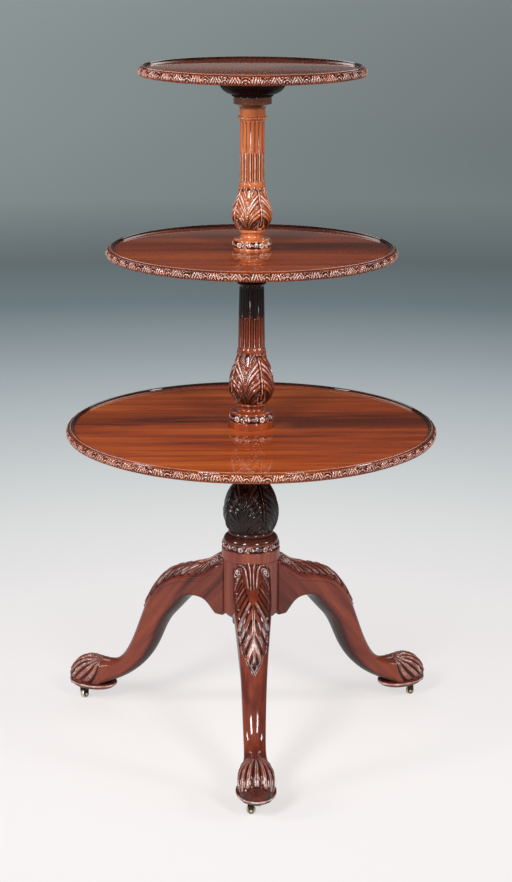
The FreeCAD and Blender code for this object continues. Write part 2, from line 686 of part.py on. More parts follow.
def make_leg(name):
    """A cabriole leg along +X, then turned to its own direction."""
    body = new_body(f"{name}_leg")
    sole = caster.pad_height
    height = leg_top - sole
    sections = []
    for number, (top_shares, low_shares, width_share, crown_share, under_share) in enumerate(
            LEG_SECTION_SHARES):
        top = (leg.reach * top_shares[0], sole + height * top_shares[1])
        low = (leg.reach * low_shares[0], sole + height * low_shares[1])
        forward = top[0] - low[0]
        rise = top[1] - low[1]
        width = leg.width * width_share
        outline = section_outline(width, distance(forward, rise), width * crown_share, width * under_share)
        sketch = new_sketch(body, f"{name}_section_{number}", "YZ_Plane", [outline])
        centre = ((top[0] + low[0]) / 2, (top[1] + low[1]) / 2)
        angle = math.degrees(math.atan2(forward.number, rise.number))
        sketch.AttachmentOffset = FreeCAD.Placement(
            FreeCAD.Vector(0, centre[1].number, centre[0].number),
            FreeCAD.Rotation(FreeCAD.Vector(1, 0, 0), angle))
        sketch.setExpression("AttachmentOffset.Base.y", centre[1].formula)
        sketch.setExpression("AttachmentOffset.Base.z", centre[0].formula)
        sketch.setExpression("AttachmentOffset.Rotation.Angle", f"atan2({forward.formula}; {rise.formula})")
        sections.append(sketch)
    shape = body.newObject("PartDesign::AdditiveLoft", f"{name}_shape")
    shape.Profile = sections[0]
    shape.Sections = sections[1:]

    # the sole: a moulded edge that overhangs a little all round
    rim_foot = sole + foot.under_height
    centre = leg.reach - foot.length / 2
    under_sketches = [
        new_sketch(body, f"{name}_sole", "XY_Plane", height=sole, outlines=[
            oval(centre, foot.length / 2 - foot.under_set_back, foot.width / 2 - foot.under_set_back)]),
        new_sketch(body, f"{name}_sole_top", "XY_Plane", height=rim_foot, outlines=[
            oval(centre, foot.length / 2, foot.width / 2)]),
    ]
    under = body.newObject("PartDesign::AdditiveLoft", f"{name}_under")
    under.Profile = under_sketches[0]
    under.Sections = under_sketches[1:]
    under.Ruled = True
    edge_sketch = new_sketch(body, f"{name}_edge_outline", "XY_Plane", height=rim_foot, outlines=[
        oval(centre, foot.length / 2, foot.width / 2)])
    pad(body, f"{name}_edge", edge_sketch, foot.rim_height)

    # the joint: coped to the round block, with the dovetail tongue
    cope = new_sketch(body, f"{name}_cope_outline", "XY_Plane", [], height=block_foot - leg.width,
                      circles=[(pillar.block_radius, NONE, NONE)])
    pocket(body, f"{name}_cope", cope, leg.width * 2 + leg.joint_height)
    trim_reach = leg.reach * FLAT_SHARE
    trim = new_sketch(body, f"{name}_trim_outline", "XY_Plane", height=block_foot - leg.width, outlines=[
        Outline(NONE, -leg.width).line(trim_reach, -leg.width).line(trim_reach, leg.width).line(
            NONE, leg.width)])
    pocket(body, f"{name}_trim", trim, leg.width)
    collar_relief = new_sketch(body, f"{name}_relief_outline", "XY_Plane", [], height=block_top,
                               circles=[(pillar.collar_radius + clearance.glued, NONE, NONE)])
    pocket(body, f"{name}_relief", collar_relief, leg.width)
    tongue = new_sketch(body, f"{name}_tongue_outline", "XY_Plane", [dovetail_outline(NONE)],
                        height=block_foot)
    pad(body, f"{name}_tongue", tongue, leg.joint_height - dovetail.shoulder)

    # the caster's pocket and screw holes, and the brace's screw hole
    caster_centre = leg.reach - foot.caster_set_back
    head_room = new_sketch(body, f"{name}_pocket_outline", "XY_Plane", [], height=sole,
                           circles=[(caster.pocket_radius, caster_centre, NONE)])
    pocket(body, f"{name}_pocket", head_room, caster.pocket_depth)
    screw_places = []
    for number in range(PLATE_SCREWS):
        turn_angle = 2 * math.pi * number / PLATE_SCREWS
        screw_places.append((caster.screw_radius + clearance.screw,
                             caster_centre + caster.screw_circle * math.cos(turn_angle),
                             caster.screw_circle * math.sin(turn_angle)))
    holes = new_sketch(body, f"{name}_holes_outline", "XY_Plane", [], height=sole, circles=screw_places)
    pocket(body, f"{name}_holes", holes, caster.screw_bite + clearance.overrun)
    brace_hole = new_sketch(body, f"{name}_brace_hole_outline", "XY_Plane", [], height=block_foot,
                            circles=[(brace_screw.shank_radius + clearance.screw,
                                      brace_screw.outer_circle, NONE)])
    pocket(body, f"{name}_brace_hole", brace_hole, brace_screw.bite + clearance.overrun)
    place(body, NONE, NONE, NONE, turned_about_z(AZIMUTHS[name]))
    return body


def oval(centre, half_length, half_width):
    """An oval of four arcs about a centre on the X axis."""
    far = half_length * DIAGONAL_SHARE
    wide = half_width * DIAGONAL_SHARE
    outline = Outline(centre + half_length, NONE)
    outline.arc((centre + far, wide), centre, half_width)
    outline.arc((centre - far, wide), centre - half_length, NONE)
    outline.arc((centre - far, -wide), centre, -half_width)
    return outline.arc((centre + far, -wide), centre + half_length, NONE)


def make_brace():
    """The three-armed iron plate across the block and the legs."""
    body = new_body("leg_brace")
    low = block_foot - brace.thickness
    hub = new_sketch(body, "hub_outline", "XY_Plane", [], height=low,
                     circles=[(brace.hub_radius, NONE, NONE)])
    pad(body, "hub", hub, brace.thickness)
    half = brace.arm_width / 2
    arm_outline = Outline(NONE, -half).line(brace.arm_reach - half, -half)
    arm_outline.arc((brace.arm_reach, NONE), brace.arm_reach - half, half).line(NONE, half)
    arm = pad(body, "arm", new_sketch(body, "arm_outline", "XY_Plane", [arm_outline], height=low),
              brace.thickness)
    round_pattern(body, "arms", [arm], len(AZIMUTHS))
    radius = brace_screw.shank_radius + clearance.screw
    holes = new_sketch(body, "brace_holes_outline", "XY_Plane", [], height=low - clearance.overrun, circles=[
        (radius, brace_screw.inner_circle, NONE), (radius, brace_screw.outer_circle, NONE)])
    cut = pocket(body, "brace_hole_pair", holes, brace.thickness + clearance.overrun * 2)
    round_pattern(body, "brace_holes", [cut], len(AZIMUTHS))
    place(body, NONE, NONE, NONE, turned_about_z(AZIMUTHS["right"]))
    return body


def make_brace_screws():
    body = new_body("leg_brace_screws")
    head_top = block_foot - brace.thickness
    tip = block_foot + brace_screw.bite
    inner = make_screw(body, "inner_screw", brace_screw, brace_screw.inner_circle, head_top, tip)
    outer = make_screw(body, "outer_screw", brace_screw, brace_screw.outer_circle, head_top, tip)
    round_pattern(body, "brace_screw_ring", [inner, outer], len(AZIMUTHS))
    place(body, NONE, NONE, NONE, turned_about_z(AZIMUTHS["right"]))
    return body


# The casters' levels above the floor
plate_foot = caster.pad_height - caster.plate_thickness
crown_foot = caster.wheel_radius * 2 + caster.wheel_room
crown_top = crown_foot + caster.crown_thickness
fork_half = caster.wheel_width / 2 + caster.cheek_gap + caster.cheek


def swivel_place(name):
    reach = leg.reach - foot.caster_set_back
    angle = math.radians(AZIMUTHS[name])
    return reach * math.cos(angle), reach * math.sin(angle)


def wheel_place(name):
    across, along = swivel_place(name)
    angle = math.radians(TRAIL_AZIMUTHS[name])
    return across + caster.trail * math.cos(angle), along + caster.trail * math.sin(angle)


def make_caster_plate(name):
    body = new_body(f"{name}_caster_plate")
    bore = caster.pin_radius + clearance.running
    outline = Outline(bore, plate_foot).across(caster.plate_radius - caster.plate_thickness / 2)
    outline.line(caster.plate_radius, plate_foot + caster.plate_thickness / 2)
    outline.line(caster.plate_radius, caster.pad_height).across(bore)
    turn(body, f"{name}_plate_turning", new_sketch(body, f"{name}_plate_outline", "XZ_Plane", [outline]))
    hole_sketch = new_sketch(body, f"{name}_plate_hole_outline", "XY_Plane", [],
                             height=plate_foot - clearance.overrun,
                             circles=[(caster.screw_radius + clearance.screw, caster.screw_circle, NONE)])
    hole = pocket(body, f"{name}_plate_hole", hole_sketch, caster.plate_thickness + clearance.overrun * 2)
    round_pattern(body, f"{name}_plate_holes", [hole], PLATE_SCREWS)
    place(body, *swivel_place(name), NONE, turned_about_z(AZIMUTHS[name]))
    return body


def make_caster_screws(name):
    body = new_body(f"{name}_caster_screws")
    head_foot = plate_foot - caster.screw_head
    across = caster.screw_circle
    tip = caster.pad_height + caster.screw_bite
    outline = Outline(across, head_foot)
    outline.across(across + caster.screw_head_radius - caster.screw_head / 2)
    outline.line(across + caster.screw_head_radius, plate_foot).across(across + caster.screw_radius)
    outline.line(across + caster.screw_radius, tip - caster.screw_radius * 2).line(across, tip)
    sketch = new_sketch(body, f"{name}_caster_screw_outline", "XZ_Plane", [outline],
                        axis=((across, head_foot), (across, tip)))
    first = turn(body, f"{name}_caster_screw", sketch, axis="Axis0")
    round_pattern(body, f"{name}_caster_screw_ring", [first], PLATE_SCREWS)
    place(body, *swivel_place(name), NONE, turned_about_z(AZIMUTHS[name]))
    return body


def make_caster_fork(name):
    """The fork: a crown with a turned boss and two cheeks that trail behind the swivel pin."""
    body = new_body(f"{name}_caster_fork")
    axle_level = caster.wheel_radius
    back = caster.trail + caster.cheek_top_back
    front = caster.trail - caster.cheek_top_front
    side = Outline(-caster.crown_front, crown_foot).line(front, crown_foot)
    side.line(caster.trail - caster.cheek_end, axle_level)
    side.arc((caster.trail, axle_level - caster.cheek_end), caster.trail + caster.cheek_end, axle_level)
    side.line(back, crown_foot).line(back, crown_top).line(-caster.crown_front, crown_top)
    side.line(-caster.crown_front, crown_foot)
    pad(body, f"{name}_fork_side", new_sketch(body, f"{name}_side_outline", "XZ_Plane", [side]),
        fork_half * 2, both_ways=True)
    gap = Outline(-caster.crown_front - clearance.overrun, -clearance.overrun)
    gap.line(back + clearance.overrun, -clearance.overrun).line(back + clearance.overrun, crown_foot)
    gap.line(-caster.crown_front - clearance.overrun, crown_foot)
    pocket(body, f"{name}_fork_gap", new_sketch(body, f"{name}_gap_outline", "XZ_Plane", [gap]),
           caster.wheel_width + caster.cheek_gap * 2, both_ways=True)
    boss = new_sketch(body, f"{name}_boss_outline", "XY_Plane", [], height=crown_top,
                      circles=[(caster.boss_radius, NONE, NONE)])
    pad(body, f"{name}_boss", boss, plate_foot - clearance.thrust - crown_top)
    pin_hole = new_sketch(body, f"{name}_pin_hole_outline", "XY_Plane", [],
                          height=crown_foot - clearance.overrun,
                          circles=[(caster.pin_radius + clearance.glued, NONE, NONE)])
    pocket(body, f"{name}_pin_hole", pin_hole, caster.pad_height)
    axle_hole = new_sketch(body, f"{name}_axle_hole_outline", "XZ_Plane", [],
                           circles=[(caster.axle_radius + clearance.glued, caster.trail, axle_level)])
    pocket(body, f"{name}_axle_hole", axle_hole, fork_half * 4, both_ways=True)
    place(body, *swivel_place(name), NONE, turned_about_z(TRAIL_AZIMUTHS[name]))
    return body


def make_caster_pin(name):
    """The riveted swivel pin: its foot under the crown, its head in the sole above the plate."""
    body = new_body(f"{name}_caster_pin")
    head_foot = caster.pad_height + clearance.thrust
    outline = Outline(NONE, crown_foot - caster.pin_foot).across(caster.pin_foot_radius - caster.pin_foot / 2)
    outline.line(caster.pin_foot_radius, crown_foot).across(caster.pin_radius)
    outline.line(caster.pin_radius, head_foot).across(caster.pin_head_radius).up(caster.pin_head / 2)
    outline.line(caster.pin_head_radius - caster.pin_head / 2, head_foot + caster.pin_head).across(NONE)
    turn(body, f"{name}_pin_turning", new_sketch(body, f"{name}_pin_outline", "XZ_Plane", [outline]))
    place(body, *swivel_place(name), NONE, turned_about_z(TRAIL_AZIMUTHS[name]))
    return body


def across_the_trail(name):
    """Turns a piece's own upright axis to lie level, square to the way the caster trails."""
    return turned_about_z(TRAIL_AZIMUTHS[name]).multiply(FreeCAD.Rotation(FreeCAD.Vector(1, 0, 0), 90))


def make_caster_wheel(name):
    body = new_body(f"{name}_caster_wheel")
    bore = caster.axle_radius + clearance.running
    half = caster.wheel_width / 2
    shoulder = caster.wheel_radius - caster.wheel_round
    outline = Outline(bore, -half).across(shoulder)
    outline.arc((caster.wheel_radius, NONE), shoulder, half).across(bore)
    turn(body, f"{name}_wheel_turning", new_sketch(body, f"{name}_wheel_outline", "XZ_Plane", [outline]))
    place(body, *wheel_place(name), caster.wheel_radius, across_the_trail(name))
    return body


def make_caster_axle(name):
    body = new_body(f"{name}_caster_axle")
    end = fork_half + caster.axle_head
    neck = caster.axle_head_radius - caster.axle_head / 2
    outline = Outline(NONE, -end).across(neck).line(caster.axle_head_radius, -fork_half)
    outline.across(caster.axle_radius).line(caster.axle_radius, fork_half).across(caster.axle_head_radius)
    outline.line(neck, end).across(NONE)
    turn(body, f"{name}_axle_turning", new_sketch(body, f"{name}_axle_outline", "XZ_Plane", [outline]))
    place(body, *wheel_place(name), caster.wheel_radius, across_the_trail(name))
    return body


def make_all():
    pieces = [make_pillar(), make_column("middle", "lower", "middle"),
              make_column("upper", "middle", "upper")]
    for name in TRAY_NAMES:
        pieces += [make_tray(name), make_bearer(name), make_tray_screws(name)]
    pieces += [make_brace(), make_brace_screws()]
    for name in AZIMUTHS:
        pieces += [make_leg(name), make_caster_plate(name), make_caster_screws(name),
                   make_caster_fork(name), make_caster_pin(name), make_caster_axle(name),
                   make_caster_wheel(name)]
    return pieces


def check(pieces):
    """Stop if any object failed, or any piece isn't the sound solids that it should be."""
    failed = [item.Name for item in document.Objects if {"Invalid", "Error"} & set(item.State)]
    loose = [item.Name for item in document.Objects
             if item.isDerivedFrom("Sketcher::SketchObject") and not item.FullyConstrained]
    for piece in pieces:
        shape = piece.Shape
        if shape.isNull() or not shape.isValid() or not shape.Solids:
            failed.append(piece.Label)
        wanted = {"bearer_screws": TRAY_SCREWS, "brace_screws": 2 * len(AZIMUTHS),
                  "caster_screws": PLATE_SCREWS}
        count = next((wanted[ending] for ending in wanted if piece.Label.endswith(ending)), 1)
        if len(shape.Solids) != count:
            failed.append(f"{piece.Label} has {len(shape.Solids)} solids")
    if failed or loose:
        raise RuntimeError(f"failed: {failed}; not held: {loose}")


all_pieces = make_all()
document.recompute()
check(all_pieces)
for piece in all_pieces:
    piece.Shape.exportStep(f"parts/{piece.Label}.step")
    print(f"{piece.Label}: {piece.Shape.Volume:.1f} mm3, {len(piece.Shape.Faces)} faces")
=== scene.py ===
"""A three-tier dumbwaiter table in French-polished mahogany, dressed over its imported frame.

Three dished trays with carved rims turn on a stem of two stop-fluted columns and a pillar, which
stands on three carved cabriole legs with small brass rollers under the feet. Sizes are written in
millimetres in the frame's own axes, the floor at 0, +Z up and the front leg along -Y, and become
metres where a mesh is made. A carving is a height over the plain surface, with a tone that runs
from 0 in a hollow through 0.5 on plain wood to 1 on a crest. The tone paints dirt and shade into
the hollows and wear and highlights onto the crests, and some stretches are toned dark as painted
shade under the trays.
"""

import logging
import math
from collections.abc import Sequence
from dataclasses import dataclass, field, replace
from enum import Enum

import bpy
import numpy as np
from mathutils import Matrix

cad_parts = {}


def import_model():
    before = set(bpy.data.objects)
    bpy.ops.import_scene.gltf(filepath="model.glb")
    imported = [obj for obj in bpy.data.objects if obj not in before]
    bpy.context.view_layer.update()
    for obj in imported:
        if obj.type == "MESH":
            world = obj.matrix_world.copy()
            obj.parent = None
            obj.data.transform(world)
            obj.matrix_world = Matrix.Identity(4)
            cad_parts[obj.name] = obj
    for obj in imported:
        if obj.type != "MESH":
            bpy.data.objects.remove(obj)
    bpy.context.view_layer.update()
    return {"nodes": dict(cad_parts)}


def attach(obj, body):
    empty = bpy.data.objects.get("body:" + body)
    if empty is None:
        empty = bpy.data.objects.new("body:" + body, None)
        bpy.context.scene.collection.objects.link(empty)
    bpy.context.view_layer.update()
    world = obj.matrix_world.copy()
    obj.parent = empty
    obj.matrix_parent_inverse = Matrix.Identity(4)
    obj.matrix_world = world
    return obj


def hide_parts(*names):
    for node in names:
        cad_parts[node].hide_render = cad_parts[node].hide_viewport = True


MM = 0.001
FULL_TURN = 2.0 * math.pi
FRONT = math.radians(-90.0)
PLAIN = 0.5
log = logging.getLogger("dumbwaiter")

Relief = tuple[np.ndarray, np.ndarray]
Span = tuple[float, float]


# Shapes of a carver's cuts, over whole arrays

def pillow(turns: np.ndarray, fullness: float = 0.7) -> np.ndarray:
    """Rounded ridges with a sharp groove at every whole number: |sin(pi x)| to a power."""
    return np.abs(np.sin(np.pi * turns)) ** fullness


def bump(reach: np.ndarray) -> np.ndarray:
    """A soft swelling: (1 - x squared) squared inside 1, and 0 outside."""
    return np.clip(1.0 - reach * reach, 0.0, 1.0) ** 2


def ramp(value: np.ndarray, low: float, high: float) -> np.ndarray:
    """A smooth step from 0 at `low` to 1 at `high`: 3 t squared less 2 t cubed."""
    share = np.clip((value - low) / (high - low), 0.0, 1.0)
    return share * share * (3.0 - 2.0 * share)


def oval(across: np.ndarray, along: np.ndarray, halves: Span) -> np.ndarray:
    """How far out each point is in an oval of these half widths, 1 on its edge."""
    return np.hypot(across / halves[0], along / halves[1])


def laid(under: np.ndarray, share: np.ndarray, over: np.ndarray | float) -> np.ndarray:
    """Lays one value over another, by a share of it at each point."""
    return under * (1.0 - share) + over * share


def faded(tone: np.ndarray, weight: np.ndarray) -> np.ndarray:
    """Brings a tone back to plain wood where its weight falls."""
    return PLAIN + (tone - PLAIN) * weight


def folded(angles: np.ndarray, turn: float, count: int) -> np.ndarray:
    """How far each angle is from the nearest of `count` even places, in radians, with its side."""
    pitch = FULL_TURN / count
    return (angles - turn + pitch / 2.0) % pitch - pitch / 2.0


def layered(*reliefs: Relief) -> Relief:
    """Adds the heights of several carvings, and their tones' departures from plain wood.

    Args:
        *reliefs: The height and tone of each.

    Returns:
        The height and tone of them all.
    """
    height = sum(relief[0] for relief in reliefs)
    tone = PLAIN + sum(relief[1] - PLAIN for relief in reliefs)
    return height, np.clip(tone, 0.0, 1.0)


# Turned outlines

class Profile:
    """A turned outline of (radius, level) points, drawn up from its foot in the turner's words."""

    LEAST_STEPS = 5
    LEAST_TURN_COSINE = 0.9
    LONG_RUN = 4.0

    def __init__(self, radius: float, level: float, step: float = 2.0) -> None:
        """Starts the outline at a point, with the length between points on its curves."""
        self.runs: list[np.ndarray] = [np.array([[radius, level]])]
        self.step = step

    @property
    def here(self) -> np.ndarray:
        """The point that the outline has reached."""
        return self.runs[-1][-1]

    def pace(self, step: float) -> "Profile":
        """Sets the length between points from here on."""
        self.step = step
        return self

    def line(self, radius: float, level: float, fine: bool = False) -> "Profile":
        """Draws a straight run.

        Args:
            radius: Radius at its end.
            level: Level at its end.
            fine: Whether the run is divided by the step, as carved work needs.

        Returns:
            The outline itself.
        """
        start, end = self.here, np.array([radius, level])
        count = max(1, math.ceil(np.linalg.norm(end - start) / self.step)) if fine else 1
        share = np.linspace(0.0, 1.0, count + 1)[1:, None]
        self.runs.append(start + (end - start) * share)
        return self

    def arc(self, middle: tuple[float, float], radius: float, level: float) -> "Profile":
        """Draws the arc of the circle through the present point, a middle point and an end.

        Args:
            middle: A point on the arc, as radius and level.
            radius: Radius at its end.
            level: Level at its end.

        Returns:
            The outline itself.
        """
        points = np.array([self.here, middle, (radius, level)])
        sides = 2.0 * (points[1:] - points[0])
        centre = np.linalg.solve(sides, (points[1:] ** 2).sum(1) - (points[0] ** 2).sum())
        spokes = points - centre
        angles = np.unwrap(np.arctan2(spokes[:, 1], spokes[:, 0]))
        size = float(np.linalg.norm(spokes[0]))
        count = max(self.LEAST_STEPS, math.ceil(abs(angles[2] - angles[0]) * size / self.step))
        swept = np.linspace(angles[0], angles[2], count + 1)[1:]
        self.runs.append(centre + size * np.stack([np.cos(swept), np.sin(swept)], axis=1))
        return self

    def up(self, rise: float, fine: bool = False) -> "Profile":
        """Draws an upright run."""
        return self.line(self.here[0], self.here[1] + rise, fine)

    def across(self, to: float) -> "Profile":
        """Draws a level run to a radius."""
        return self.line(to, self.here[1])

    def bulge(self, to: float, rise: float) -> "Profile":
        """Draws a bead or a hollow that reaches one radius halfway and comes back."""
        radius, level = self.here
        return self.arc((to, level + rise / 2.0), radius, level + rise)

    def astragal(self, to: float, rise: float) -> "Profile":
        """Draws a half-round bead that stands out to a radius."""
        return self.across(to - rise / 2.0).bulge(to, rise)

    def curve(self, radius: float, rise: float, upright_start: bool) -> "Profile":
        """Draws an arc that runs upright at one end.

        Args:
            radius: Radius at its end.
            rise: How far it climbs.
            upright_start: Whether the upright end is the first one.

        Returns:
            The outline itself.
        """
        start, foot = self.here
        width = radius - start
        chord = math.hypot(width, rise)
        sway = chord * (chord - rise) / (width * 2.0)
        if upright_start:
            return self.arc((start + sway, foot + chord / 2.0), radius, foot + rise)
        return self.arc((radius - sway, foot + rise - chord / 2.0), radius, foot + rise)

    def ogee(self, radius: float, rise: float, turn_share: float) -> "Profile":
        """Draws two arcs, upright at both ends, that meet at a share of the way.

        Args:
            radius: Radius at its end.
            rise: How far it climbs.
            turn_share: The share of both where the arcs meet.

        Returns:
            The outline itself.
        """
        start = self.here[0]
        self.curve(start + (radius - start) * turn_share, rise * turn_share, True)
        return self.curve(radius, rise * (1.0 - turn_share), False)

    def points(self, softness: float = 0.28) -> np.ndarray:
        """Gives the outline with the sharpness taken off its corners.

        A point where the outline turns by more than about 25 degrees becomes two, a little
        before and after it, so the arris catches the light as a worn one does. A long run gets
        a point more at such an end, which keeps the rounding from spreading over it.

        Args:
            softness: How far from the corner the two points stand.

        Returns:
            An array of radius and level, one row to a point.
        """
        drawn = np.concatenate(self.runs)
        steps = np.diff(drawn, axis=0)
        lengths = np.linalg.norm(steps, axis=1)
        ways = steps / lengths[:, None]
        sharp = np.zeros(len(drawn), bool)
        sharp[1:-1] = (ways[1:] * ways[:-1]).sum(1) < self.LEAST_TURN_COSINE
        near = np.minimum(softness, lengths / 3.0)[:, None] * ways
        far = np.minimum(4.0 * softness, lengths / 2.5)[:, None] * ways
        rows = np.repeat(drawn[:, None], 4, axis=1)
        for column, move in enumerate((-far[:-1], -near[:-1], near[1:], far[1:])):
            rows[1:-1, column] += move * sharp[1:-1, None]
        kept = np.zeros(rows.shape[:2], bool)
        kept[:, 1] = True
        kept[:, 2] = sharp
        kept[1:-1, 0] = sharp[1:-1] & (lengths[:-1] > self.LONG_RUN)
        kept[1:-1, 3] = sharp[1:-1] & (lengths[1:] > self.LONG_RUN)
        return rows[kept]


def turned(outline: np.ndarray, angles: np.ndarray, height: np.ndarray) -> np.ndarray:
    """Turns an outline about the upright axis, with a carving's height along its own normal.

    A point is (r cos a, r sin a, z), where r and z are the outline's plus the height times the
    outline's normal, the run's direction turned a quarter outwards.

    Args:
        outline: Radius and level, one row to a point.
        angles: The angle of each point, rows by columns.
        height: The carving's height, rows by columns.

    Returns:
        Points as rows by columns by 3.
    """
    run = np.gradient(outline, axis=0)
    run /= np.linalg.norm(run, axis=1, keepdims=True)
    radius = outline[:, :1] + height * run[:, 1:]
    level = outline[:, 1:] - height * run[:, :1]
    return np.stack([radius * np.cos(angles), radius * np.sin(angles), level], axis=-1)


# Meshes

class Ends(Enum):
    """How a skin's first and last rows are closed."""

    CAPPED = "each row meets a point at its middle"
    JOINED = "the last row meets the first"


@dataclass
class Skin:
    """A closed surface on a grid whose columns go round and whose faces point outwards."""

    points: np.ndarray
    tone: np.ndarray
    ends: Ends = Ends.CAPPED

    def vertices(self) -> np.ndarray:
        """Lists the grid's points, and the middle points of capped ends after them.

        Returns:
            One row to a vertex.
        """
        listed = self.points.reshape(-1, 3)
        if self.ends is Ends.JOINED:
            return listed
        return np.concatenate([listed, self.points[[0, -1]].mean(axis=1)])

    def tones(self) -> np.ndarray:
        """The tone of each vertex, in the same order."""
        listed = self.tone.reshape(-1)
        return listed if self.ends is Ends.JOINED else np.append(listed, (PLAIN, PLAIN))

    def faces(self, first: int) -> list[list[int]]:
        """Numbers the faces.

        Column j goes round and row i goes on, so the square (i, j), (i, j+1), (i+1, j+1), (i+1, j)
        faces outwards. A cap is a fan about its middle point.

        Args:
            first: Number of this skin's first vertex in the whole mesh.

        Returns:
            Lists of vertex numbers.
        """
        rows, columns = self.points.shape[:2]
        number = first + np.arange(rows * columns).reshape(rows, columns)
        onward = np.roll(number, -1, axis=1)
        if self.ends is Ends.JOINED:
            number_up, onward_up = np.roll(number, -1, axis=0), np.roll(onward, -1, axis=0)
        else:
            number_up, onward_up = number[1:], onward[1:]
            number, onward = number[:-1], onward[:-1]
        squares = np.stack([number, onward, onward_up, number_up], axis=-1).reshape(-1, 4).tolist()
        if self.ends is Ends.JOINED:
            return squares
        foot = np.full(columns, first + rows * columns)
        fans = [np.stack([foot, onward[0], number[0]], axis=-1),
                np.stack([foot + 1, number_up[-1], onward_up[-1]], axis=-1)]
        return squares + np.concatenate(fans).tolist()


def make_piece(name: str, skins: Sequence[Skin], body: str, finish: "Finish", nodes: Sequence[str]) -> bpy.types.Object:
    """Makes one object of some skins, dresses it, and puts it in place of its CAD nodes.

    Args:
        name: The piece's name.
        skins: The closed surfaces that it is made of, in millimetres.
        body: The CAD body that it moves with.
        finish: What it is finished in.
        nodes: The CAD nodes that it stands for.

    Returns:
        The new object.
    """
    mesh = bpy.data.meshes.new(name)
    faces: list[list[int]] = []
    first = 0
    for skin in skins:
        faces += skin.faces(first)
        first += len(skin.vertices())
    mesh.from_pydata(np.concatenate([skin.vertices() for skin in skins]) * MM, [], faces)
    mesh.polygons.foreach_set("use_smooth", np.ones(len(faces), bool))
    relief = mesh.attributes.new("relief", "FLOAT", "POINT")
    relief.data.foreach_set("value", np.concatenate([skin.tones() for skin in skins]).astype(np.float32))
    mesh.materials.append(finish.material())
    mesh.update()
    piece = bpy.data.objects.new(name, mesh)
    bpy.context.scene.collection.objects.link(piece)
    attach(piece, body)
    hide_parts(*nodes)
    log.info("%s: %d faces, rides on %s", name, len(faces), body)
    return piece


# Finishes

Colour = tuple[float, float, float, float]
Triple = tuple[float, float, float]
Value = bpy.types.NodeSocket | float | tuple

BLACK: Colour = (0.0, 0.0, 0.0, 1.0)
WHITE: Colour = (1.0, 1.0, 1.0, 1.0)


def paint(red: int, green: int, blue: int) -> Colour:
    """Turns a colour as it is seen into the shader's own scale, by the usual curve for screens.

    Args:
        red: Its red part, from 0 to 255.
        green: Its green part.
        blue: Its blue part.

    Returns:
        The linear colour, opaque.
    """
    parts = np.array([red, green, blue]) / 255.0
    linear = np.where(parts <= 0.04045, parts / 12.92, ((parts + 0.055) / 1.055) ** 2.4)
    return (*linear.tolist(), 1.0)


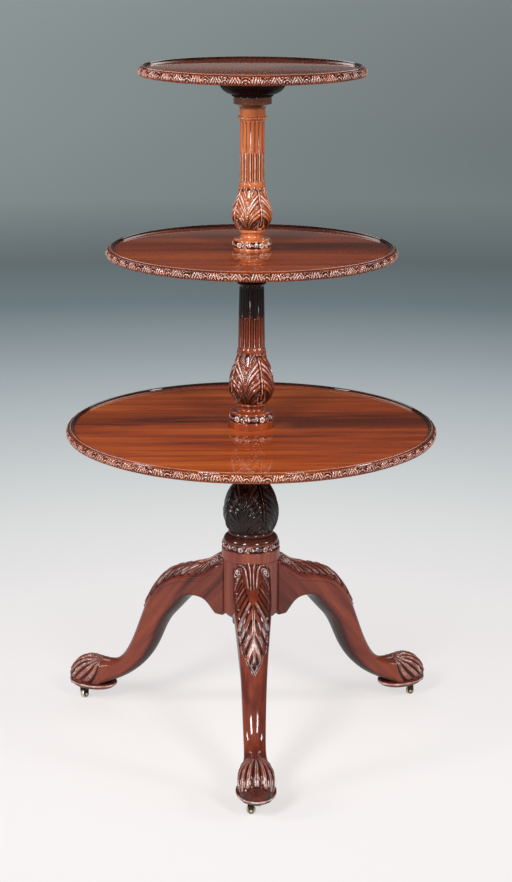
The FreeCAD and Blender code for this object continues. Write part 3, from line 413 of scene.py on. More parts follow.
class Bench:
    """A node tree being wired: each call adds one node and gives back its output."""

    MOST_LEAN = 0.25

    def __init__(self, tree: bpy.types.NodeTree) -> None:
        """Takes an empty node tree."""
        self.tree = tree
        tree.nodes.clear()

    def add(self, kind: str, inputs: dict[str | int, Value] | None = None,
            **settings: object) -> bpy.types.Node:
        """Adds a node.

        Args:
            kind: The node's type.
            inputs: Values for its sockets, by name or number. An output is linked.
            **settings: Properties of the node.

        Returns:
            The node.
        """
        node = self.tree.nodes.new(kind)
        for name, value in settings.items():
            setattr(node, name, value)
        for name, value in (inputs or {}).items():
            if isinstance(value, bpy.types.NodeSocket):
                self.tree.links.new(value, node.inputs[name])
            else:
                node.inputs[name].default_value = value
        return node

    def mapped(self, turn: Triple = (0.0, 0.0, 0.0), scale: Triple = (1.0, 1.0, 1.0)) -> bpy.types.NodeSocket:
        """Gives the object's own coordinates, turned and then scaled.

        Args:
            turn: The turn about each axis, in degrees.
            scale: The scale along each axis, after the turn.

        Returns:
            The coordinates.
        """
        where = self.add("ShaderNodeTexCoord").outputs["Object"]
        turned_there = self.add("ShaderNodeMapping", {
            "Vector": where, "Rotation": tuple(math.radians(part) for part in turn)})
        stretched = self.add("ShaderNodeMapping", {"Vector": turned_there.outputs[0], "Scale": tuple(scale)})
        return stretched.outputs[0]

    def noise(self, vector: Value, scale: float, detail: float = 3.0, roughness: float = 0.55,
              distortion: float = 0.0) -> bpy.types.NodeSocket:
        """A cloud of values about 0.5."""
        return self.add("ShaderNodeTexNoise", {"Vector": vector, "Scale": scale, "Detail": detail,
                                               "Roughness": roughness, "Distortion": distortion}).outputs[0]

    def spread(self, value: Value, low: float, high: float, to_low: float = 0.0,
               to_high: float = 1.0) -> bpy.types.NodeSocket:
        """Maps one range onto another, smoothly, and holds its ends."""
        ends = {"Value": value, "From Min": low, "From Max": high, "To Min": to_low, "To Max": to_high}
        return self.add("ShaderNodeMapRange", ends, interpolation_type="SMOOTHSTEP").outputs[0]

    def maths(self, operation: str, first: Value, second: Value = 0.0) -> bpy.types.NodeSocket:
        """Reckons with two values."""
        return self.add("ShaderNodeMath", {0: first, 1: second}, operation=operation).outputs[0]

    def times(self, value: Value, factor: Value) -> bpy.types.NodeSocket:
        """Multiplies two values."""
        return self.maths("MULTIPLY", value, factor)

    def plus(self, first: Value, second: Value) -> bpy.types.NodeSocket:
        """Adds two values."""
        return self.maths("ADD", first, second)

    def minus(self, value: Value, less: Value) -> bpy.types.NodeSocket:
        """Takes one value from another."""
        return self.maths("SUBTRACT", value, less)

    def largest(self, first: Value, second: Value) -> bpy.types.NodeSocket:
        """Gives the larger of two values."""
        return self.maths("MAXIMUM", first, second)

    def blend(self, share: Value, first: Value, second: Value, way: str = "MIX") -> bpy.types.NodeSocket:
        """Mixes two colours."""
        return self.add("ShaderNodeMix", {0: share, 6: first, 7: second}, data_type="RGBA",
                        blend_type=way).outputs[2]

    def leant(self, colour: Value, lean: Value) -> bpy.types.NodeSocket:
        """Brightens or dims a colour by a share of itself, held within a limit either way.

        Args:
            colour: The colour.
            lean: The share, above 0 to brighten and below it to dim.

        Returns:
            The new colour.
        """
        held = self.maths("MINIMUM", self.largest(lean, -self.MOST_LEAN), self.MOST_LEAN)
        share = self.plus(held, 1.0)
        factor = self.add("ShaderNodeCombineXYZ", {number: share for number in range(3)})
        return self.blend(1.0, colour, factor.outputs[0], "MULTIPLY")

    def shades(self, value: Value, stops: Sequence[tuple[float, Colour]]) -> bpy.types.NodeSocket:
        """Turns a value into a colour by stops along a ramp.

        Args:
            value: The value.
            stops: A place and a colour each, in rising order, two or more of them.

        Returns:
            The colour.
        """
        node = self.add("ShaderNodeValToRGB", {0: value})
        ramp_stops = node.color_ramp.elements
        while len(ramp_stops) < len(stops):
            ramp_stops.new(0.5)
        for stop, (position, colour) in zip(ramp_stops, stops):
            stop.position = position
            stop.color = colour
        return node.outputs[0]


@dataclass(frozen=True)
class Finish:
    """What every finish has: a name, and a material that is made once."""

    name: str

    def material(self) -> bpy.types.Material:
        """Gives the finish's material, and makes it the first time.

        Returns:
            The material.
        """
        made = bpy.data.materials.get(self.name)
        if made is None:
            made = bpy.data.materials.new(self.name)
            made.use_nodes = True
            self.wire(Bench(made.node_tree))
        return made

    def wire(self, bench: Bench) -> None:
        """Builds the finish's nodes; each kind of finish has its own."""
        raise NotImplementedError

    def dress(self, node: bpy.types.Object) -> None:
        """Puts the finish on a CAD node that stays in view."""
        node.data.materials.clear()
        node.data.materials.append(self.material())


@dataclass(frozen=True)
class Mahogany(Finish):
    """French-polished mahogany: streaked grain and pores under a clear, glossy skin.

    The streaks are noise stretched along the grain, at three widths. On carved work the relief
    attribute darkens the hollows, where old polish and dirt stay, as dirt and painted shade, and
    lightens the crests in patches, as wear and painted highlights.
    """

    dark: Colour = paint(60, 21, 15)
    middle: Colour = paint(112, 46, 31)
    light: Colour = paint(150, 70, 42)
    hollow: Colour = paint(18, 6, 5)
    crest: Colour = paint(238, 214, 206)
    crest_share: float = 0.85
    least_lit: float = 0.42
    turn: Triple = (0.0, 0.0, 0.0)
    figure: float = 1.0
    gloss: float = 0.07
    sheen: float = 0.14
    polish: float = 1.0
    flame_and_shadow: float = 0.0
    carved: bool = True
    broad_scale: Triple = (0.9, 7.0, 7.0)
    broad_share: float = 0.56
    streak_scale: Triple = (3.0, 46.0, 46.0)
    streak_share: float = 0.44
    grain_places: Triple = (0.36, 0.50, 0.66)
    pore_scale: Triple = (45.0, 1100.0, 1100.0)
    pore_span: Span = (0.30, 0.44)
    pore_floor: float = 0.6
    pore_share: float = 0.55
    pore_depth: float = 0.12
    roughness: Span = (0.44, 0.56)
    mottle_size: float = 260.0
    mottle_share: float = 0.22
    patch_size: float = 75.0
    patch_span: Span = (0.40, 0.60)
    hollow_tones: Span = (0.44, 0.08)
    hollow_share: float = 0.96
    crest_tones: Span = (0.66, 0.98)
    cut_span: Span = (0.03, 0.2)
    cut_depth: float = 3.2
    bump_distance: float = 0.0002
    flame_and_shadow_sway: float = 0.16
    flame_and_shadow_place: float = 0.022
    flame_and_shadow_width: Span = (0.060, 0.012)
    flame_and_shadow_start: Span = (0.01, 0.09)

    def wire(self, bench: Bench) -> None:
        """Builds grain, pores, wear and polish.

        Args:
            bench: The material's empty node tree.
        """
        broad = bench.noise(bench.mapped(self.turn, self.broad_scale), self.figure, 4.0, 0.55, 0.5)
        streak = bench.noise(bench.mapped(self.turn, self.streak_scale), self.figure, 5.0, 0.62, 0.4)
        pores = bench.noise(bench.mapped(self.turn, self.pore_scale), 1.0, 1.0)
        grain = bench.plus(bench.times(broad, self.broad_share), bench.times(streak, self.streak_share))
        wood = bench.shades(grain, tuple(zip(self.grain_places, (self.dark, self.middle, self.light))))
        pitted = bench.spread(pores, *self.pore_span, self.pore_floor, 1.0)
        wood = bench.blend(self.pore_share, wood, bench.shades(pitted, ((0.0, BLACK), (1.0, WHITE))),
                           "MULTIPLY")
        height = bench.times(pitted, self.pore_depth)
        # Figure and painted shadow: a dark streak runs out from the column along X.
        if self.flame_and_shadow:
            wood = bench.blend(self.flame_and_shadow_share(bench, broad), wood, self.dark)
        if self.carved:
            wood, cuts = self.worn(bench, wood)
            height = bench.plus(height, cuts)
        lifted = bench.add("ShaderNodeBump", {
            "Height": height, "Strength": 1.0, "Distance": self.bump_distance})
        skin = bench.add("ShaderNodeBsdfPrincipled", {
            "Base Color": wood, "Roughness": bench.spread(streak, 0.3, 0.7, *self.roughness), "IOR": 1.48,
            "Specular IOR Level": self.sheen, "Coat Weight": self.polish, "Coat Roughness": self.gloss,
            "Coat IOR": 1.5, "Normal": lifted.outputs[0]})
        bench.add("ShaderNodeOutputMaterial", {"Surface": skin.outputs[0]})

    def worn(self, bench: Bench, wood: Value) -> tuple[bpy.types.NodeSocket, bpy.types.NodeSocket]:
        """Darkens the hollows of carved work with dirt and painted shade, lightens its crests in patches with wear and
        painted highlights, and roughens its cuts.

        Args:
            bench: The material's node tree.
            wood: The plain wood's colour.

        Returns:
            The colour with its dirt, wear and painted light and shade, and the height of the cuts' roughness.
        """
        relief = bench.add("ShaderNodeAttribute", attribute_name="relief").outputs["Fac"]
        mottle = bench.noise(bench.mapped(), self.mottle_size, 2.0)
        mottled_relief = bench.plus(relief, bench.times(bench.minus(mottle, 0.5), self.mottle_share))
        # Dirt and painted shade: the hollows are blended towards the hollow colour.
        dirt_and_shade = bench.spread(mottled_relief, *self.hollow_tones, 0.0, self.hollow_share)
        wood = bench.blend(dirt_and_shade, wood, self.hollow)
        # Wear and painted highlights: the crests are blended towards the crest colour, brighter in noise patches.
        patches = bench.noise(bench.mapped(), self.patch_size, 2.0)
        lit = bench.spread(patches, *self.patch_span, self.least_lit, 1.0)
        bright = bench.spread(mottled_relief, *self.crest_tones, 0.0, self.crest_share)
        wood = bench.blend(bench.times(lit, bright), wood, self.crest)
        cut = bench.spread(bench.maths("ABSOLUTE", bench.minus(relief, PLAIN)), *self.cut_span)
        return wood, bench.times(bench.times(mottle, cut), self.cut_depth)

    def flame_and_shadow_share(self, bench: Bench, broad: Value) -> bpy.types.NodeSocket:
        """Draws a dark streak out along X from the middle: flame in the figure, and painted shadow of the column.

        Args:
            bench: The material's node tree.
            broad: The broad streaks, which sway the flame's edges.

        Returns:
            The share of the dark streak at each point.
        """
        where = bench.add("ShaderNodeSeparateXYZ", {0: bench.mapped()})
        level = bench.plus(where.outputs["Y"], bench.times(bench.minus(broad, 0.5), self.flame_and_shadow_sway))
        off = bench.maths("ABSOLUTE", bench.minus(level, self.flame_and_shadow_place))
        body = bench.spread(off, *self.flame_and_shadow_width)
        return bench.times(bench.times(body, bench.spread(where.outputs["X"], *self.flame_and_shadow_start)), self.flame_and_shadow)


class Metal(Enum):
    """The table's metals, with base colour, worn colour, metallic share and roughness."""

    BRASS = (paint(222, 206, 172), paint(248, 240, 222), 0.7, 0.42)
    DARK_BRASS = (paint(34, 29, 26), paint(92, 76, 52), 0.75, 0.42)
    IRON = (paint(38, 36, 36), paint(84, 78, 74), 0.9, 0.55)
    STEEL = (paint(96, 92, 88), paint(150, 146, 140), 1.0, 0.4)


@dataclass(frozen=True)
class MetalFinish(Finish):
    """Worn metal: noise in two sizes shows the bare colour through the tarnish."""

    metal: Metal = Metal.BRASS
    patch_size: float = 240.0
    patch_share: float = 0.7
    scratch_turn: Triple = (0.0, 40.0, 20.0)
    scratch_scale: Triple = (300.0, 2600.0, 2600.0)
    scratch_share: float = 0.3
    wear_span: Span = (0.38, 0.62)
    duller: float = 0.1
    brighter: float = 0.06

    def wire(self, bench: Bench) -> None:
        """Builds tarnish, wear and scratches.

        Args:
            bench: The material's empty node tree.
        """
        base, worn, metallic, roughness = self.metal.value
        patches = bench.noise(bench.mapped(), self.patch_size, 4.0, 0.6)
        scratches = bench.noise(bench.mapped(self.scratch_turn, self.scratch_scale), 1.0, 2.0)
        wear = bench.plus(bench.times(patches, self.patch_share), bench.times(scratches, self.scratch_share))
        share = bench.spread(wear, *self.wear_span)
        skin = bench.add("ShaderNodeBsdfPrincipled", {
            "Base Color": bench.blend(share, base, worn), "Metallic": metallic,
            "Roughness": bench.spread(patches, 0.3, 0.7, roughness + self.duller, roughness - self.brighter),
            "Normal": bench.add("ShaderNodeBump", {
                "Height": scratches, "Strength": 0.15, "Distance": 0.0001}).outputs[0]})
        bench.add("ShaderNodeOutputMaterial", {"Surface": skin.outputs[0]})


# Carving on turned work

class Carving:
    """A pattern cut over the whole of a turned surface."""

    def carve(self, angles: np.ndarray, radii: np.ndarray, levels: np.ndarray) -> Relief:
        """Gives the carving; each pattern has its own.

        Args:
            angles: The angle of each point, rows by columns.
            radii: The plain surface's radius, one to a row.
            levels: Its level, one to a row.

        Returns:
            The height and tone of each point.
        """
        raise NotImplementedError


@dataclass(frozen=True)
class VaseLeaves(Carving):
    """Four acanthus leaves round a vase, like palmettes, with curled tips on the band above.

    With u from 0 at a leaf's middle to 1 at its edge and v the height share, the fronds are
    pillows along v - a ln(u + b): they rise almost upright from the middle's foot and lean over
    to the edge, three to a lobe. A rib between two grooves parts the leaves and ends in a dark
    eye with a U-shaped lip. Above the vase a crescent curls over each leaf, and two buds stand
    over each rib. Ribs, eyes and tips are drawn for one rise and grow with the vase. Painted
    shade can tone a vase dark but for its sharpest crests, as the shade under a tray.
    """

    foot: float
    rise: float
    depth: float = 2.3
    painted_shade: float = 0.0
    count: int = 4
    turn: float = FRONT - math.radians(17.5)
    lean: float = 0.20
    start: float = 0.06
    pitch: float = 0.115
    fronds_to_a_lobe: float = 3.0
    calm_sides: Span = (0.10, 0.26)
    calm_shares: Span = (0.70, 0.80)
    shine_shares: Span = (0.20, 0.55)
    foot_shares: Span = (0.0, 0.03)
    top_shares: Span = (0.985, 1.0)
    drawn_rise: float = 89.0
    rib_half: float = 1.25
    rib_shares: Span = (0.08, 0.12)
    groove_place: float = 2.4
    groove_half: float = 1.5
    eye_share: float = 0.15
    eye_halves: Span = (6.2, 9.5)
    lip_shares: Span = (0.16, 0.26)
    tip_level: float = 1.2
    curl_halves: Span = (7.2, 6.2)
    bite_level: float = -1.8
    bite_halves: Span = (4.2, 4.6)
    bud_place: float = 3.1
    bud_halves: Span = (2.6, 3.2)
    tip_reach: float = 8.5

    def carve(self, angles: np.ndarray, radii: np.ndarray, levels: np.ndarray) -> Relief:
        """Cuts the leaves, the ribs and eyes between them and the curled tips above.

        Args:
            angles: The angle of each point, rows by columns.
            radii: The plain surface's radius, one to a row.
            levels: Its level, one to a row.

        Returns:
            The height and tone of each point.
        """
        size = self.rise / self.drawn_rise
        share = np.clip((levels - self.foot) / self.rise, 0.0, 1.0)
        side = np.abs(folded(angles, self.turn, self.count)) * self.count / math.pi
        along = side * math.pi / self.count * radii / size
        gap = (1.0 - side) * math.pi / self.count * radii / size
        height, tone = self.parted(self.leaf(side, share), gap, share, size)
        weight = ramp(share, *self.foot_shares) * (1.0 - ramp(share, *self.top_shares))
        above = (levels - self.foot - self.rise) / size
        height, tone = self.tipped((height * weight, faded(tone, weight)), along, gap, above)
        # Painted shade: a vase under a tray is toned dark but for its sharpest crests.
        painted_dark = self.painted_shade * np.clip(weight, 0.0, 1.0) * (above < 0.0)
        tone = laid(tone, painted_dark, 0.04 + 0.9 * np.clip(tone, 0.0, 1.0) ** 6)
        return self.depth * height, np.clip(tone, 0.0, 1.0)

    def leaf(self, side: np.ndarray, share: np.ndarray) -> Relief:
        """Cuts fronds and lobes, with calm ground at the head of each leaf's middle.

        Args:
            side: From 0 at a leaf's middle to 1 at its edge.
            share: From 0 at the vase's foot to 1 at its top.

        Returns:
            The leaves' height and tone.
        """
        label = share - self.lean * np.log(side + self.start)
        frond = pillow(label / self.pitch, 0.9)
        lobe = pillow(label / (self.fronds_to_a_lobe * self.pitch) + 0.12, 0.45)
        calm = (1.0 - ramp(side, *self.calm_sides)) * ramp(share, *self.calm_shares)
        shine = 0.30 + 0.70 * ramp(share, *self.shine_shares)
        tone = (0.02 + 0.98 * frond * shine) * (0.12 + 0.88 * lobe)
        return laid(0.8 * frond + 1.3 * lobe - 1.2, calm, -0.9), laid(tone, calm, 0.4)

    def parted(self, leaves: Relief, gap: np.ndarray, share: np.ndarray, size: float) -> Relief:
        """Cuts a rib, two grooves and an eye with its lip between two leaves.

        Args:
            leaves: The leaves' height and tone.
            gap: How far each point is from the middle of the gap, on a vase of the drawn rise.
            share: From 0 at the vase's foot to 1 at its top.
            size: This vase's size, as a share of the drawn one.

        Returns:
            Height and tone with the gap cut.
        """
        height, tone = leaves
        rib = bump(gap / self.rib_half) * ramp(share, *self.rib_shares)
        groove = bump((gap - self.groove_place) / self.groove_half)
        height = height * (1.0 - rib) * (1.0 - groove) + 0.8 * rib - 1.3 * groove
        tone = tone * (1.0 - rib) * (1.0 - groove) + 0.97 * rib
        eye = oval(gap, (share - self.eye_share) * self.rise / size, self.eye_halves)
        pit = ramp(1.0 - eye, 0.0, 0.25) * (1.0 - rib)
        lip = bump((eye - 1.12) / 0.2) * (1.0 - ramp(share, *self.lip_shares))
        height = height * (1.0 - pit) * (1.0 - lip) - 1.2 * pit + 0.7 * lip
        return height, tone * (1.0 - pit) * (1.0 - lip) + 0.95 * lip

    def tipped(self, leaves: Relief, along: np.ndarray, gap: np.ndarray, above: np.ndarray) -> Relief:
        """Curls a crescent over each leaf and sets two buds over each rib, on sunk ground.

        Args:
            leaves: The height and tone so far.
            along: How far each point is from a leaf's middle.
            gap: How far it is from the middle of the gap.
            above: How far it is above the vase.

        Returns:
            Height and tone with the tips.
        """
        height, tone = leaves
        curl = oval(along, above - self.tip_level, self.curl_halves)
        bite = oval(along, above - self.bite_level, self.bite_halves)
        crescent = ramp(1.0 - curl, 0.0, 0.3) * ramp(bite, 0.85, 1.15)
        bud = oval(gap - self.bud_place, above - self.tip_level, self.bud_halves)
        crown = np.maximum(crescent, np.sqrt(np.clip(1.0 - bud * bud, 0.0, 1.0)))
        ground = bump(above / self.tip_reach) * (np.abs(above) < self.tip_reach)
        height = height * (1.0 - crown) + 0.75 * crown - 0.5 * ground * (1.0 - crown)
        return height, laid(tone - 0.33 * ground, crown, 0.95)


@dataclass(frozen=True)
class RosetteRing(Carving):
    """A carved ring: five-petalled rosettes with leafy sprays that meet halfway between them.

    A petal is |cos 2.5 a| round the rosette's middle, and a spray's leaves are pillows along
    x + k|y|, about a line that swings as a sine from rosette to rosette. Its sizes are shares of
    the ring's height.
    """

    foot: float
    rise: float
    count: int = 5
    turn: float = FRONT + math.radians(29.0)
    depth: float = 1.5
    reach_share: float = 0.42
    edge_share: float = 0.49
    leaf_share: float = 0.30
    heart_share: float = 0.24
    leaf_slope: float = 1.15
    swing: float = 1.6
    swing_rate: float = 0.42

    def carve(self, angles: np.ndarray, radii: np.ndarray, levels: np.ndarray) -> Relief:
        """Cuts rosettes, sprays and the hearts where these meet.

        Args:
            angles: The angle of each point, rows by columns.
            radii: The plain surface's radius, one to a row.
            levels: Its level, one to a row.

        Returns:
            The height and tone of each point.
        """
        across = folded(angles, self.turn, self.count) * radii
        along = levels - self.foot - self.rise / 2.0
        reach = self.rise * self.reach_share
        weight = 1.0 - ramp(np.abs(along), reach, self.rise * self.edge_share)
        away = np.hypot(across, along) / reach
        petal = np.abs(np.cos(2.5 * np.arctan2(along, across)))
        rosette = ramp(1.0 - away, 0.0, 0.2) * (0.3 + 0.7 * petal ** 0.6) * ramp(away, 0.26, 0.36)
        boss = bump(away / 0.3)
        rest = math.pi / self.count * radii - np.abs(across)
        swing = along * np.sign(across) * 0.5 + self.swing * np.sin(rest * self.swing_rate)
        leaf = pillow((rest + self.leaf_slope * np.abs(along - swing)) / (self.rise * self.leaf_share), 1.6)
        spray = ramp(away, 1.05, 1.2) * leaf * bump((along - swing) / reach)
        heart = bump(np.hypot(rest, along) / (self.rise * self.heart_share))
        height = np.maximum.reduce([rosette, boss, 0.9 * spray, heart])
        tone = np.clip(0.98 * ramp(height, 0.15, 0.75), 0.0, 1.0)
        return self.depth * (height - 0.55) * weight, faded(tone, weight)


@dataclass(frozen=True)
class Pearls(Carving):
    """A bead cut into a string of pearls, which are pillows round it."""

    foot: float
    rise: float
    count: int = 30
    depth: float = 1.3

    def carve(self, angles: np.ndarray, radii: np.ndarray, levels: np.ndarray) -> Relief:
        """Cuts the pearls, less and less towards the bead's edges.

        Args:
            angles: The angle of each point, rows by columns.
            radii: Not used.
            levels: Its level, one to a row.

        Returns:
            The height and tone of each point.
        """
        share = np.clip((levels - self.foot) / self.rise, 0.0, 1.0)
        weight = np.sin(np.pi * share) ** 0.5
        pearl = pillow(angles * self.count / FULL_TURN, 0.6)
        return (pearl - 0.75) * self.depth * weight, faded(0.1 + 0.62 * pearl, weight)


@dataclass(frozen=True)
class StopFlutes(Carving):
    """Round-ended flutes up a shaft, stopped with reeds below, with berries over every other reed.

    Across a flute of radius R whose axis stands e outside the shaft, the surface lies
    sqrt(R^2 - x^2) - e deep. A reed of radius q fills it to sqrt(q^2 - x^2) - q. The berries are
    balls, each smaller than the one below it.
    """

    foot: float
    top: float
    radius: float
    out: float
    reed: float
    reed_rise: float
    count: int = 16
    edge_share: float = 0.15
    least_width: float = 0.12
    berries: tuple[float, ...] = (1.9, 1.6, 1.3)
    berry_foot: float = 1.6
    berry_pitch: float = 3.1

    @staticmethod
    def reach(levels: np.ndarray, low: float, high: float, radius: float) -> np.ndarray:
        """The radius that a round-ended rod still has at each level."""
        inner = np.clip(np.minimum(levels - low, high - levels), 0.0, radius)
        return np.sqrt(np.clip(radius ** 2 - (radius - inner) ** 2, 0.0, None))

    def half_width(self, levels: np.ndarray) -> np.ndarray:
        """Half of the flute's opening at each level."""
        here = self.reach(levels, self.foot, self.top, self.radius)
        return np.sqrt(np.clip(here ** 2 - self.out ** 2, 0.0, None))

    def places(self, angles: np.ndarray, radii: np.ndarray, levels: np.ndarray) -> np.ndarray:
        """Moves the columns so that some stand on the flutes' edges.

        Within each pitch the columns run straight from the middle of a fillet to the flute's
        edge, across the flute to its other edge, and on to the next fillet's middle.

        Args:
            angles: The even angles, one to a column.
            radii: The plain surface's radius, one to a row.
            levels: Its level, one to a row.

        Returns:
            Angles as rows by columns.
        """
        pitch = FULL_TURN / self.count
        number, share = np.divmod(angles / pitch, 1.0)
        edge = self.edge_share
        width = self.half_width(levels) / (pitch * radii)
        width = np.where(width > self.least_width, width, 0.5 - edge)[:, None]
        outer = share[None, :] / edge * (0.5 - width)
        inner = 0.5 + (share[None, :] - 0.5) / (0.5 - edge) * width
        last = 1.0 - (1.0 - share[None, :]) / edge * (0.5 - width)
        moved = np.where(share < edge, outer, np.where(share > 1.0 - edge, last, inner))
        return (number[None, :] + moved) * pitch

    def carve(self, angles: np.ndarray, radii: np.ndarray, levels: np.ndarray) -> Relief:
        """Cuts the flutes, and leaves reeds and berries standing in them.

        Args:
            angles: The angle of each point, rows by columns.
            radii: The plain surface's radius, one to a row.
            levels: Its level, one to a row.

        Returns:
            The height and tone of each point.
        """
        pitch = FULL_TURN / self.count
        across = folded(angles, pitch / 2.0, self.count) * radii
        here = self.reach(levels, self.foot, self.top, self.radius)
        flute = np.minimum(self.out - np.sqrt(np.clip(here ** 2 - across ** 2, 0.0, None)), 0.0)
        stop_top = self.foot + self.reed_rise
        rod = self.reach(levels, self.foot, stop_top, self.reed)
        reed = np.sqrt(np.clip(rod ** 2 - across ** 2, 0.0, None)) - self.reed
        height = np.where(rod > np.abs(across), np.maximum(flute, reed), flute)
        odd = np.floor(angles / pitch) % 2.0
        berry = np.zeros_like(across)
        for number, size in enumerate(self.berries):
            away = np.hypot(across, levels - stop_top - self.berry_foot - number * self.berry_pitch)
            berry = np.maximum(berry, np.sqrt(np.clip(size ** 2 - away ** 2, 0.0, None)) * odd)
        height = np.where(berry > 0.0, np.maximum(height, berry - self.reed), height)
        inside = np.abs(across) / np.maximum(self.half_width(levels), 0.1)
        # Painted light and shade: the open flutes are toned dark at their middles, the reeds get a pale line down the
        # middle and dark sides, and the berries are pale.
        open_tone = 0.62 - 0.46 * bump(across / (0.8 * self.radius)) * (here > 0.0)
        reed_tone = 0.86 - 0.80 * ramp(inside, 0.1, 0.66) + 0.56 * ramp(inside, 0.92, 1.04)
        tone = np.where(levels < stop_top, reed_tone, open_tone)
        tone = np.where((levels > self.foot) & (levels < self.top), tone, PLAIN)
        return height, np.where(berry > 0.0, 0.8, tone)


@dataclass(frozen=True)
class PaintedShade(Carving):
    """Painted shade on a stretch of turning under a tray: its tone darkens above the stretch's foot, more so further
    up.
    """

    foot: float
    rise: float = 0.1
    tone: float = 0.2

    def carve(self, angles: np.ndarray, radii: np.ndarray, levels: np.ndarray) -> Relief:
        """Gives no height, and the painted shade's dark tone above the stretch's foot."""
        share = ramp(levels, self.foot, self.foot + self.rise) + np.zeros(angles.shape)
        return np.zeros(angles.shape), PLAIN + (self.tone - PLAIN) * share


@dataclass(frozen=True)
class RimFoliage(Carving):
    """Running foliage round a tray's edge.

    Each cell holds a pair of leaves that lean together, pillows along x + k|y|, and a shell of
    arcs about the join of two cells. Pits are drilled between them. The pair's place and slope
    wander from cell to cell, as 1 - (x / half)^2 of a cell allows, so the joins stay where they are.
    """

    foot: float
    rise: float
    count: int
    depth: float = 2.2
    wander: float = 2.4
    slope: float = 6.5
    slope_change: float = 3.0
    leaf_pitch: float = 4.6
    leaf_reach: float = 8.5
    shell_pitch: float = 4.3
    shell_reach: float = 10.5
    drill_holes: tuple[tuple[float, float, float], ...] = ((9.6, 0.80, 2.3), (3.0, 0.16, 1.7))

    def carve(self, angles: np.ndarray, radii: np.ndarray, levels: np.ndarray) -> Relief:
        """Cuts leaves and shells down to the ground, and drills between them.

        Args:
            angles: The angle of each point, rows by columns.
            radii: The plain surface's radius, one to a row.
            levels: Its level, one to a row.

        Returns:
            The height and tone of each point.
        """
        offset = folded(angles, FRONT, self.count) * radii
        half = math.pi / self.count * radii
        over = (levels - self.foot) / self.rise
        number = np.floor((angles - FRONT) * self.count / FULL_TURN + 0.5)
        free = 1.0 - (offset / half) ** 2
        offset = offset + self.wander * np.sin(2.4 * number) * free
        side = np.abs(offset)
        rest = half - side
        slope = self.slope + self.slope_change * np.cos(4.1 * number) * free
        leaf = pillow((side + slope * over - 1.2 * np.sign(offset)) / self.leaf_pitch, 1.0)
        leaf = leaf * ramp(self.leaf_reach - side + 3.0 * np.sin(np.pi * over), 0.0, 1.5)
        away = np.hypot(rest, (over - 0.12) * self.rise * 0.8)
        shell = pillow(away / self.shell_pitch + 0.25, 1.1) * ramp(self.shell_reach - away, 0.0, 1.2)
        rays = pillow(np.arctan2(rest, (over + 0.2) * self.rise) * 2.2 + 0.5, 0.5)
        pit = np.maximum.reduce([bump(np.hypot(side - place, (over - share) * self.rise) / radius)
                                 for place, share, radius in self.drill_holes])
        height = np.maximum(leaf, 0.95 * shell * (0.5 + 0.5 * rays)) * (1.0 - pit)
        # Painted shade: the tone is darker low on the band, up to about a third of its height.
        tone = (0.02 + 0.98 * ramp(height, 0.46, 0.80)) * (0.30 + 0.70 * ramp(over, 0.04, 0.36))
        weight = ramp(over, 0.0, 0.07) * (1.0 - ramp(over, 0.93, 1.0))
        return self.depth * (height - 0.62) * weight, faded(np.clip(tone, 0.0, 1.0), weight)


# The stem. A number given to pace() is the length between points, shorter where the cut is finer.

COLUMNS_ROUND = 320
NEAR_AXIS = 0.05


def stem_piece(name: str, outline: np.ndarray, carvings: Sequence[Carving], finish: Finish,
               flutes: StopFlutes | None = None) -> bpy.types.Object:
    """Turns one of the stem's pieces and carves it.

    Args:
        name: The CAD node that it stands for.
        outline: Its outline, from the foot up.
        carvings: What is carved on it.
        finish: Its finish.
        flutes: Its flutes, where it has them.

    Returns:
        The new object.
    """
    even = np.arange(COLUMNS_ROUND) * FULL_TURN / COLUMNS_ROUND
    radii, levels = outline[:, :1], outline[:, 1:]
    angles = np.broadcast_to(even, (len(outline), COLUMNS_ROUND))
    if flutes is not None:
        angles = flutes.places(even, outline[:, 0], outline[:, 1])
    plain = (np.zeros(angles.shape), np.full(angles.shape, PLAIN))
    height, tone = layered(plain, *(carving.carve(angles, radii, levels) for carving in carvings))
    skin = Skin(turned(outline, angles, height), tone)
    return make_piece(f"{name}_carved", [skin], "stand", finish, [name])


